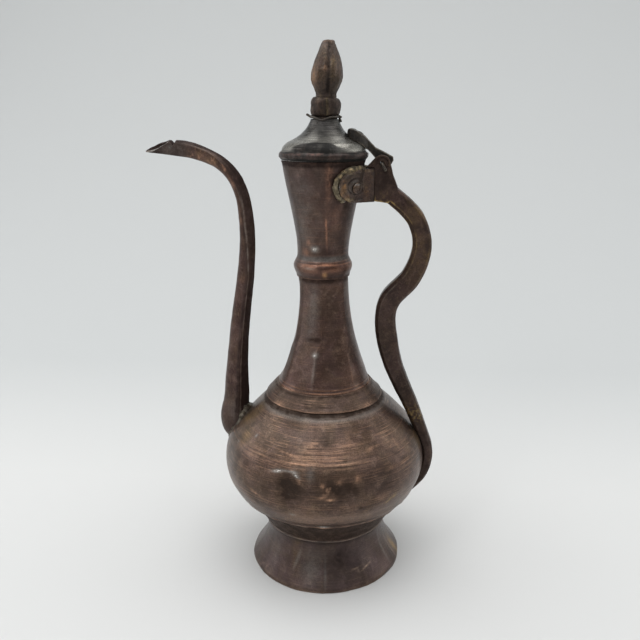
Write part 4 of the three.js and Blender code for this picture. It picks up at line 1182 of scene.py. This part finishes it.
def mark_spout(made, points):
    """A roof darkened with painted shade, a rubbed line along the fold that is also a painted highlight,
    painted shade inside the tube, and flecks on the near side
    """
    size = len(points) // (2 * SPOUT_ROWS)
    row, place = np.divmod(np.arange(len(points)), size)
    place = np.where(place == 0, size, place)
    along = np.where(row < SPOUT_ROWS, row, 2 * SPOUT_ROWS - 1 - row) / SPOUT_ROWS
    near = points[:, 1] < 1
    patch = 0.5 + lumps(points, (6, 0.5, 23), (2, 0.3, 24))
    fine = speckle(points * [1, 1, 0.6], 1.0, 25, 0.5, 1.2, 1.5)
    fold, shoulder = ARC_POINTS - 1, ARC_POINTS + 3
    roof = (place > fold) * 1.0
    straight, bent = fade(along, 0.42, 0.5), step(along, 0.6, 0.72)
    line = (place == fold + 1) * straight + (place == fold) * (1 - straight) * (1 - 0.4 * bent)
    line = line * (1 - within(along, 0.46, 0.5, 0.56, 0.62)) * np.clip(patch + 0.2, 0, 1)
    worn = flecks(points, SPOUT_RUST) * near * (0.4 + 0.5 * fine)
    worn = 0.4 * line + (1 - roof) * (worn + 0.3 * within(along, 0.5, 0.56, 0.72, 0.8) * (fine > 1.15))
    # dark: painted shade on the roof, strongest over the bend
    dark = 0.85 * straight * (1 - 0.45 * step(points[:, 2], 190, 240)) + bent
    dark = dark + (1 - straight) * (1 - bent) * (0.5 + 0.5 * (place >= shoulder))
    roof = roof + 0.8 * straight * (place >= fold - 1) * (place <= fold)
    rim = (row >= SPOUT_ROWS - 2) * (row <= SPOUT_ROWS) * (place > ARC_POINTS // 2) * (place < fold + 6)
    grime_and_shade = roof * dark * (1 - np.clip(1.5 * line, 0, 1)) + 0.4 * fade(along, 0.02, 0.1)
    # (row >= SPOUT_ROWS) is painted shade over the whole inside of the tube
    grime_and_shade = grime_and_shade + (row >= SPOUT_ROWS) + 0.85 * step(along, 0.7, 0.86) * (0.6 + 0.4 * patch)
    grey = 0.6 * flecks(points, SPOUT_GREY) * near + 0.12 * step(along, 0.75, 0.9) * patch
    # line on the fold is rubbed copper and a painted highlight
    grey = grey + 0.6 * line + 0.6 * rim
    return mark(made, worn, grime_and_shade * (1 - 0.8 * rim), grey, flecks(points, SPOUT_GOLD) * near * patch)


def mark_handle(made):
    """Yellow where the loop's inner edges are rubbed, dark plum below the knee"""
    points, proud, folded, patch = surface(made, 0.35, 2, (6, 0.5, 131), (2, 0.4, 132))
    x, y, height = points.T
    loop = step(height, 215, 240)
    middle = ease(height, ((225, 52), (245, 60), (262, 60), (276, 48)))
    inside = fade(x, middle - 4, middle + 2)
    brass = proud * patch * (0.1 + loop * (0.3 + 2.2 * inside) * fade(height, 280, 286))
    brass = brass + 0.08 * loop * patch * fade(height, 272, 280) * step(x, 52, 60)
    brass = brass + 0.9 * hump(height, 122, 6) * speckle(points, 1.2, 133, 0.4, 1.3, 1.5) * (y < 2)
    grime_and_shade = 0.5 * folded + 0.25 * fade(height, 196, 226) + 0.25 * (1 - patch) * loop
    grime_and_shade = grime_and_shade + 0.35 * step(height, 280, 288) + 0.25 * fade(height, 130, 190)
    return mark(made, 0, grime_and_shade, 0.3 * proud * patch * (1 - loop), brass)


def mark_saddle(made):
    """Rust and gilt lumps round the disc, grey at its middle, a dark line where the head begins"""
    points, proud, folded, patch = surface(made, 0.4, 2, (4, 0.5, 141), (1.5, 0.4, 142))
    ring = np.hypot(points[:, 0] - DISC_DENT_X, points[:, 2] - SADDLE_MIDDLE)
    disc = fade(points[:, 0], 26, 28)
    fine = patch * speckle(points, 1.1, 143, 0.7, 0.9)
    grey = flecks(points, SADDLE_GREY) + 0.5 * hump(ring, 9.4, 0.5) * disc + 0.3 * proud
    grime_and_shade = 0.5 * folded + flecks(points, SADDLE_GRIME)
    grime_and_shade = grime_and_shade + lines(ring, ((5.2, 0.6, 0.5), (8, 0.8, 0.4))) * disc
    worn, brass = flecks(points, SADDLE_WORN) * fine, flecks(points, SADDLE_BRASS) * fine
    return mark(made, worn, grime_and_shade * (0.5 + 0.5 * patch), grey * fine, brass)


def mark_crust(made):
    """Pale at the tip of the band, dark and flecked along its upper edge"""
    points, proud, folded, patch = surface(made, 0.5, 1, (1.6, 0.8, 144))
    high = step(points[:, 2], HEAD_LOW + 14, HEAD_LOW + 19)
    grime_and_shade = 0.6 * folded + 0.75 * high * np.clip(1.2 - patch, 0, 1) + 0.35 * np.clip(0.6 - patch, 0, 1)
    return mark(made, 0.6 * proud * patch, grime_and_shade, 0, 0.5 * high * np.clip(patch, 0, 1))


def mark_lid(made):
    """A reddish rim band with bright ridges; on the bulge a painted dark reflection at the front with a
    painted pale sheen above and round it; a dark turned dome with a painted dark reflection at its front
    """
    points, proud, folded, patch = surface(made, 0.3, 2, (5, 0.5, 121), (1.8, 0.4, 122))
    angle, height, _ = place = polar(points)
    rise = height - LID_LOW
    band = fade(rise, 5, 6.6)
    edge = hump(rise, 5 + 0.5 * grain(points, 4, 123), 0.5)
    fine = speckle(points, 1.1, 124, 0.6, 1.1)
    pink = band * (0.08 + 0.14 * patch) + (0.4 * proud * band + 0.9 * edge) * np.clip(patch, 0, 1) * fine
    pink = pink + 0.35 * spot(place, -112, LID_LOW + 7, 7, 3) * patch * fine
    streak = np.clip(grain(points * [0.12, 0.12, 1], 0.9, 125), 0, 1) * step(rise, 13, 17)
    worn = 0.2 * (1 - band) * streak * np.abs(np.sin(np.radians(angle + 86))) ** 0.6
    # level: the wavy upper edge of painted_dark_reflection, a dark reflection painted on the front of the
    # bulge
    level = 6.6 + 4.2 * hump(angle, -96, 36, 4) + 0.35 * grain(points, 4, 127)
    painted_dark_reflection = hump(angle, -96, 40, 4) * within(rise, 5.4, 6.2, level + 0.9, level + 1.5)
    grime_and_shade = 0.65 * band + 0.5 * folded + 0.8 * fade(rise, 0.6, 1.6) + 0.8 * painted_dark_reflection
    # the spot at -84 degrees is a painted dark reflection at the front of the dome
    grime_and_shade = grime_and_shade + 0.6 * spot(place, -84, LID_LOW + 17, 5, 7) + step(height, LID_TOP - 1, LID_TOP)
    # front, sides and broken shape the pale marks: grey here is a painted sheen on the bulge and a painted
    # highlight band above painted_dark_reflection
    front = 0.3 + 0.7 * hump(angle, -88, 85, 4)
    sides = 0.7 + 0.3 * np.abs(np.sin(np.radians(angle + 88)))
    broken = front * speckle(points * [0.25, 0.25, 1], 1.2, 126, 0.8, 0.4, 1.15)
    bulge = (1 - band) * (1 - painted_dark_reflection) * fade(rise, 10, 18)
    grey = 0.4 * hump(rise, level + 2.6, 2.4) * (0.6 + 0.4 * patch) * sides
    grey = np.minimum((grey + 0.95 * bulge + 0.04 * (1 - band)) * broken, 0.7)
    return mark(made, worn, grime_and_shade, grey, pink)


def mark_finial(made):
    """Dark in the folds, wood-like streaks of red brown and ochre"""
    points, proud, folded, patch = surface(made, 0.5, 1, (8, 0.6, 152))
    height = points[:, 2]
    streak = grain(points * [1, 1, 0.16], 2.2, 151)
    worn = (0.35 * proud + flecks(points, FINIAL_RED)) * (0.5 + 0.7 * patch)
    crease, bud_crease = (
        hump(polar(points - [middle, 0, 0])[0], angle, width)
        for middle, angle, width in ((2.1, -80, 4.5), (2.6, -79, 9))
    )
    crease = crease * (height < BUD_LOW) * (height > KNOB_LOW + 2)
    bud_crease = bud_crease * step(height, BUD_LOW + 2, BUD_LOW + 6)
    bud_crease = bud_crease * (1 - 0.7 * step(height, BUD_LOW + 16, BUD_LOW + 24))
    brass = (flecks(points, FINIAL_OCHRE) + 0.4 * np.clip(streak, 0, 1)) * patch + 0.6 * crease
    grime_and_shade = 0.8 * folded + 0.35 * np.clip(-streak, 0, 1) + 0.6 * bud_crease
    grime_and_shade = grime_and_shade + 0.4 * fade(height, BUD_LOW + 4, BUD_LOW + 12)
    return mark(made, worn, grime_and_shade, 0.25 * patch * step(height, TOP - 14, TOP), brass)


def mark_small(made, worn=0.8, grime_and_shade=0.6, grey=0.0):
    """Marks of a small piece: bright edges and soiling in its folds"""
    _, proud, folded, patch = surface(made, 0.5, 1, (5, 0.5, 111), base=0.6)
    return mark(made, worn * proud * patch, grime_and_shade * folded, grey * patch)


# Nodes. An input is a number, a colour, or what another node gives.
class Value:
    """What a node gives. Values add up, subtract and multiply by further nodes."""

    def __init__(self, nodes, socket):
        self.nodes, self.socket = nodes, socket

    def __add__(self, other):
        return self.nodes.math("ADD", self, other)

    def __sub__(self, other):
        return self.nodes.math("SUBTRACT", self, other)

    def __mul__(self, other):
        return self.nodes.math("MULTIPLY", self, other)

    def __abs__(self):
        return self.nodes.math("ABSOLUTE", self)

    def clamped(self):
        self.socket.node.use_clamp = True
        return self


class Nodes:
    def __init__(self, tree):
        self.tree = tree

    def add(self, kind, inputs, **settings):
        node = self.tree.nodes.new("ShaderNode" + kind)
        for key, value in settings.items():
            setattr(node, key, value)
        for key, value in inputs.items():
            self.feed(node.inputs[key], value)
        return node

    def give(self, kind, inputs, key=0, **settings):
        return Value(self, self.add(kind, inputs, **settings).outputs[key])

    def feed(self, socket, value):
        if isinstance(value, Value):
            self.tree.links.new(value.socket, socket)
        elif socket.type == "RGBA":
            socket.default_value = (*value, 1)
        else:
            socket.default_value = value

    def math(self, operation, value, other=0.0):
        return self.give("Math", {0: value, 1: other}, operation=operation)

    def vector(self, operation, value, key, other):
        return self.give("VectorMath", {0: value, key: other}, operation=operation)

    def ramp(self, value, low, high, start=0.0, finish=1.0, how="SMOOTHSTEP"):
        values = {"Value": value, "From Min": low, "From Max": high, "To Min": start, "To Max": finish}
        return self.give("MapRange", values, interpolation_type=how)

    def mix(self, share, first, second, how="MIX"):
        return self.give("Mix", {0: share, 6: first, 7: second}, 2, data_type="RGBA", blend_type=how)


def patina(name, dark, middle, light, bare, rough=0.36, metal=0.88, scratch=(0.04, 0.04, 1.5), cuts=0.5,
           turning=0.5, grit=0.5, film_and_sheen=(0.33, 0.31, 0.285), brass=(0.36, 0.23, 0.085), depth=0.12, shift=0):
    """Old metal: clouds of oxide, worn and grimy marks, painted shade, painted highlights and glints, fine
    scratches and pits
    """
    material = bpy.data.materials.new("old_" + name)
    material.use_nodes = True
    made = Nodes(material.node_tree)
    made.tree.nodes.clear()
    ramp, mix = made.ramp, made.mix
    place = made.vector("SCALE", made.give("TexCoord", {}, "Object"), "Scale", 1 / MM)
    marks = made.add("Attribute", {}, attribute_name="marks", attribute_type="GEOMETRY").outputs
    parts = made.add("SeparateColor", {0: Value(made, marks["Color"])}).outputs
    worn, grime_and_shade, grey = (Value(made, part) for part in parts)
    gilt = Value(made, marks["Alpha"])

    def noise(size, detail, roughness, own_shift=0, stretch=(1, 1, 1), twist=0.0):
        away = shift + own_shift
        spread = made.vector("ADD", made.vector("MULTIPLY", place, 1, stretch), 1, (away, away * 0.7, -away))
        values = {"Vector": spread, "Scale": 1 / size, "Detail": detail, "Roughness": roughness}
        return made.give("TexNoise", {**values, "Distortion": twist})

    cloud, tint = noise(22, 5, 0.62, twist=0.6), noise(15, 3, 0.6, 140, twist=0.4)
    blot, fleck = noise(6, 6, 0.7, 31, twist=0.3), noise(1.0, 4, 0.8, 57)
    scratches, few = noise(1.0, 3, 0.6, 11, stretch=scratch), noise(9, 3, 0.6, 83)
    rings = noise(1.0, 2, 0.5, 71, stretch=(0.3 * scratch[0], 0.3 * scratch[1], 0.5 * scratch[2]))
    pits = ramp(noise(2.2, 2, 0.5, 7), 0.66, 0.78)
    cut_here, turned_here = ramp(few, 0.42, 0.62, 0.1, cuts), ramp(few, 0.36, 0.56, 0.1, turning)
    groove, crest = (ramp(abs(rings - level), 0, 0.03, 1, 0) * turned_here for level in (0.5, 0.55))

    olive, mauve = (1.0, 0.96, 0.87), (1.0, 0.94, 0.98)
    colour = mix(ramp(cloud, 0.36, 0.64), dark, middle)
    colour = mix(ramp(blot, 0.46, 0.74), colour, light)
    colour = mix(1.0, colour, mix(ramp(tint, 0.38, 0.62), olive, mauve), "MULTIPLY")
    speckled = mix(ramp(fleck, 0.3, 0.7), (1 - grit,) * 3, (1 + 0.55 * grit,) * 3)
    colour = mix(1.0, colour, speckled, "MULTIPLY")
    rubbed = worn * ramp(fleck, 0.3, 0.6, 0.45, 1.2)
    rubbed = rubbed + (ramp(scratches, 0.56, 0.68) * cut_here + crest * 0.48)
    rubbed = (rubbed + ramp(blot, 0.64, 0.78, 0, 0.3)).clamped()
    colour = mix(rubbed, colour, bare)
    colour = mix((gilt * ramp(fleck, 0.3, 0.6, 0.3, 1.2)).clamped(), colour, brass)
    # dust_and_glint: a pale dust film and the painted highlights and sheens of the grey channel, tinted
    # film_and_sheen
    dust_and_glint = (grey * ramp(fleck, 0.3, 0.62, 0.5, 1.1)).clamped()
    colour = mix(dust_and_glint, colour, film_and_sheen)
    # painted glint: where the pale marks are strongest the colour turns near white
    colour = mix(ramp(dust_and_glint, 0.75, 1.0), colour, (0.78, 0.74, 0.69))
    # dirt_and_shade: grime and painted shade from the grime_and_shade channel, with the dark turning
    # grooves; it darkens the colour and takes away metal and coat
    dirt_and_shade = (grime_and_shade * ramp(blot, 0.3, 0.65, 1.4, 0.8) + groove * 0.8).clamped()
    colour = mix(dirt_and_shade, colour, tuple(0.5 * part for part in dark))

    relief = fleck * 0.5 + blot * 1.2 - ramp(scratches, 0.6, 0.72) * 0.3 - groove * 0.8 - pits * 0.6
    bump = made.give("Bump", {"Height": relief, "Distance": depth * MM, "Strength": 1.0})
    roughness = ramp(fleck, 0.25, 0.75, rough - 0.06, rough + 0.1) - rubbed * 0.08
    metallic = dirt_and_shade * -0.7 + metal
    shader = made.add("BsdfPrincipled", {
        "Base Color": colour, "Roughness": (roughness + dirt_and_shade * 0.25 + dust_and_glint * 0.06).clamped(),
        "Metallic": (metallic + rubbed * 0.1).clamped(), "Normal": bump,
        "Coat Weight": ramp(dirt_and_shade, 0.0, 0.7, 0.18, 0.0),
        "Specular IOR Level": ramp(dirt_and_shade, 0.2, 1.0, 0.45, 0.12),
    })
    for key, value in (("Coat Roughness", 0.18), ("Sheen Weight", 0.03), ("Sheen Roughness", 0.4)):
        shader.inputs[key].default_value = value
    made.add("OutputMaterial", {"Surface": Value(made, shader.outputs[0])}).is_active_output = True
    return material


SHEET = patina(
    "sheet", (0.068, 0.042, 0.03), (0.129, 0.083, 0.06), (0.179, 0.122, 0.092), (0.45, 0.26, 0.165))
SHEET_NECK = patina(
    "neck", (0.073, 0.042, 0.032), (0.13, 0.078, 0.062), (0.181, 0.12, 0.095), (0.42, 0.22, 0.13),
    cuts=0.15, turning=0.1, grit=0.35, shift=5)
SHEET_MOUTH = patina(
    "mouth", (0.046, 0.026, 0.02), (0.085, 0.049, 0.039), (0.126, 0.08, 0.064), (0.42, 0.2, 0.12),
    cuts=0.15, turning=0.06, grit=0.3, shift=51)
SHEET_FOOT = patina(
    "foot", (0.06, 0.04, 0.036), (0.088, 0.06, 0.053), (0.12, 0.085, 0.075), (0.36, 0.25, 0.18),
    rough=0.34, cuts=0.12, turning=0.06, grit=0.25, shift=17)
SHEET_SPOUT = patina(
    "spout", (0.058, 0.034, 0.028), (0.109, 0.067, 0.053), (0.14, 0.094, 0.078), (0.42, 0.23, 0.15),
    scratch=(1.2, 1.2, 0.1), cuts=0.25, turning=0.1, grit=0.35, shift=23)
TINNED = patina(
    "tin", (0.025, 0.023, 0.021), (0.045, 0.042, 0.038), (0.062, 0.058, 0.053), (0.27, 0.25, 0.23),
    rough=0.22, scratch=(0.03, 0.03, 1.1), cuts=0.3, grit=0.3, film_and_sheen=(0.35, 0.335, 0.295),
    brass=(0.34, 0.17, 0.13), shift=41)
BRASS_CAST = patina(
    "brass", (0.042, 0.025, 0.02), (0.084, 0.051, 0.04), (0.121, 0.078, 0.062), (0.34, 0.24, 0.12),
    rough=0.4, scratch=(0.4, 0.4, 0.4), cuts=0.08, turning=0.0, grit=0.4, brass=(0.4, 0.27, 0.1),
    depth=0.16, shift=3)
SADDLE = patina(
    "saddle", (0.047, 0.032, 0.025), (0.085, 0.058, 0.046), (0.124, 0.089, 0.072), (0.34, 0.17, 0.06),
    scratch=(0.4, 0.4, 0.4), cuts=0.1, turning=0.0, grit=0.45, film_and_sheen=(0.14, 0.14, 0.135),
    brass=(0.45, 0.34, 0.16), depth=0.2, shift=63)
FINIAL = patina(
    "finial", (0.041, 0.029, 0.024), (0.084, 0.06, 0.048), (0.121, 0.09, 0.074), (0.3, 0.17, 0.1),
    rough=0.42, scratch=(1.3, 1.3, 0.12), cuts=0.35, turning=0.4, brass=(0.27, 0.2, 0.1),
    depth=0.2, shift=29)
SOLDER = patina(
    "solder", (0.1, 0.083, 0.057), (0.24, 0.2, 0.135), (0.38, 0.33, 0.23), (0.6, 0.5, 0.33),
    rough=0.42, scratch=(0.5, 0.5, 0.5), cuts=0.1, turning=0.0, film_and_sheen=(0.12, 0.115, 0.09),
    depth=0.25, shift=9)
SOLDER_DARK = patina(
    "solder_dark", (0.03, 0.026, 0.02), (0.065, 0.055, 0.041), (0.12, 0.1, 0.075), (0.45, 0.38, 0.25),
    rough=0.45, scratch=(0.5, 0.5, 0.5), cuts=0.1, turning=0.0, film_and_sheen=(0.09, 0.08, 0.068),
    depth=0.25, shift=19)
IRON = patina(
    "iron", (0.018, 0.016, 0.014), (0.04, 0.035, 0.03), (0.075, 0.066, 0.056), (0.24, 0.2, 0.15),
    rough=0.45, metal=0.7, scratch=(0.6, 0.6, 0.6), cuts=0.1, turning=0.0, shift=13)


# Putting a piece on: what it stands for, what it moves with and what it is made of
def dress(made, body, slot, material, *nodes):
    made.data.materials.clear()
    made.data.materials.append(material)
    made.data.polygons.foreach_set("use_smooth", [True] * len(made.data.polygons))
    made.data.polygons.foreach_set("material_index", [0] * len(made.data.polygons))
    made.data.set_sharp_from_angle(angle=math.radians(35))
    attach(made, body)
    if nodes:
        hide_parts(*nodes)


# The vessel's pieces
SHEET_OF = {"foot_skirt": SHEET_FOOT, "neck_lower": SHEET_NECK, "neck_upper": SHEET_MOUTH}
ENDS = (("near", -1), ("far", 1))
for node, made in build_vessel().items():
    slot = "foot_copper" if node == "foot_skirt" else "sheet_copper"
    dress(mark_sheet(made), "vessel", slot, SHEET_OF.get(node, SHEET), node)

spout, spout_root = build_spout()
dress(spout, "vessel", "spout_copper", SHEET_SPOUT, "spout_tube")
spout_solder = bead("spout_solder", spout_root, 1.35, 121, 0.38, crown=2.0)
dress(mark_small(spout_solder, 0.5, 1.0, 0.5), "vessel", "cast_brass", SOLDER_DARK)

dress(mark_handle(build_handle()), "vessel", "cast_brass", BRASS_CAST, "handle")
dress(mark_saddle(build_saddle()), "vessel", "cast_brass", SADDLE, "neck_saddle")
for end, side in ENDS:
    dress(mark_crust(saddle_bead("saddle_solder_" + end, side)), "vessel", "cast_brass", SOLDER)
for end, side in ENDS:
    made = saddle_rivet("saddle_stud_" + end, side)
    # painted_glint: a painted highlight across each rivet head a little above the saddle's middle
    painted_glint = hump(points_of(made)[:, 2], SADDLE_MIDDLE + 1.6, 0.5)
    dress(mark_small(made, 0.5, 0.9, 0.2 + painted_glint), "vessel", "cast_brass", SADDLE, "saddle_rivet_" + end)
dress(mark_small(build_pin()), "vessel", "dark_iron", IRON, "hinge_pin")

# The lid's pieces
lid, lid_ring = build_lid()
dress(mark_lid(lid), "lid", "tinned_copper", TINNED, "lid_dome")
dress(mark_small(lid_ring), "lid", "tinned_copper", TINNED, "lid_bezel")
dress(mark_small(build_strap()), "lid", "dark_iron", IRON, "lid_strap")
for end, side in ENDS:
    dress(mark_small(strap_rivet("strap_stud_" + end, side)), "lid", "dark_iron", IRON, "strap_rivet_" + end)
dress(mark_finial(build_knob()), "lid", "cast_brass", FINIAL, "finial_knob")
dress(mark_finial(build_bud()), "lid", "cast_brass", FINIAL, "finial_bud")
dress(mark_small(build_rove()), "lid", "tinned_copper", TINNED, "finial_rove")
for made in (build_tie(), build_tie_end()):
    dress(mark_small(made, 0.3), "lid", "dark_iron", IRON, "finial_wire")


# Stage: a pale floor that sweeps up into a backdrop
def build_stage():
    near, far, turn, high = -2600, 300, 700, 2600
    profile = [(near, 0), (-300, 0), *((y, 0) for y in range(-200, far + 1, 100))]
    profile += arc((far, turn), turn, -85, 0, 17)
    profile += [(far + turn, 2 * turn), (far + turn, high)]
    rings = [[(x, y, z) for y, z in profile] for x in (-2600, 2600)]
    count = len(profile)
    faces = [(j, count + j, count + j + 1, j + 1) for j in range(count - 1)]
    made = mesh_object("sweep", rings, faces)
    made.data.polygons.foreach_set("use_smooth", [True] * len(made.data.polygons))
    paper = bpy.data.materials.new("paper")
    paper.use_nodes = True
    nodes = Nodes(paper.node_tree)
    depth = nodes.give("SeparateXYZ", {0: nodes.give("TexCoord", {}, "Object")}, "Y")
    share = nodes.ramp(depth, 0.1, 0.4, how="LINEAR")
    shader = paper.node_tree.nodes["Principled BSDF"]
    shader.inputs["Roughness"].default_value = 0.9
    shader.inputs["Specular IOR Level"].default_value = 0.1
    nodes.feed(shader.inputs["Base Color"], nodes.mix(share, (0.685, 0.687, 0.677), (0.575, 0.588, 0.585)))
    made.data.materials.append(paper)


def build_lights():
    for name, size, place, aim, power in (
        ("top", 1.6, (0, 0, 1.5), (0, 0, 0.15), 12.5),
        ("left", 0.9, (-1.1, 0.1, 0.7), (0, 0, 0.2), 2.6),
        ("right", 0.9, (1.2, 0.3, 0.7), (0, 0, 0.2), 2.0),
        ("front", 0.2, (-0.45, -0.8, 0.95), (0, 0, 0.15), 0.9),
    ):
        lamp = bpy.data.lights.new(name, "AREA")
        lamp.shape = "SQUARE"
        lamp.size = size
        lamp.energy = power
        made = bpy.data.objects.new(name, lamp)
        made.location = place
        made.rotation_euler = (Vector(aim) - Vector(place)).to_track_quat("-Z", "Y").to_euler()
        bpy.context.scene.collection.objects.link(made)


def build_room():
    """A pale room that is dark low down on the viewer's side"""
    world = bpy.data.worlds.new("studio")
    bpy.context.scene.world = world
    world.use_nodes = True
    nodes = Nodes(world.node_tree)
    way = nodes.give("TexCoord", {}, "Generated")
    facing = nodes.give("VectorMath", {0: way, 1: (0.3, -0.95, 0)}, "Value", operation="DOT_PRODUCT")
    height = nodes.give("SeparateXYZ", {0: way}, "Z")
    low = nodes.ramp(height, 0.3, 0.65, 1, 0, how="LINEAR")
    dark = nodes.ramp(facing, 0.2, 0.9, how="LINEAR") * low
    sky = world.node_tree.nodes["Background"]
    sky.inputs["Strength"].default_value = 1
    nodes.feed(sky.inputs["Color"], nodes.mix(dark, (0.8, 0.81, 0.82), (0.17, 0.17, 0.175)))


def build_camera():
    reach, level, yaw, pitch, roll = 488, 333.6, math.radians(6), math.radians(16.4), math.radians(-0.35)
    picture, focal, aside = 640, 700, -4.3
    lens = bpy.data.cameras.new("camera")
    lens.sensor_width = 36
    lens.lens = lens.sensor_width * focal / picture
    lens.shift_x = aside / picture
    made = bpy.data.objects.new("camera", lens)
    made.location = (MM * (AXIS + reach * math.sin(yaw)), -MM * reach * math.cos(yaw), MM * level)
    turn = Euler((math.pi / 2 - pitch, 0, yaw)).to_matrix() @ Matrix.Rotation(roll, 3, "Z")
    made.rotation_euler = turn.to_euler()
    bpy.context.scene.collection.objects.link(made)
    bpy.context.scene.camera = made


build_stage()
build_lights()
build_room()
build_camera()
bpy.context.scene.view_settings.view_transform = "Standard"
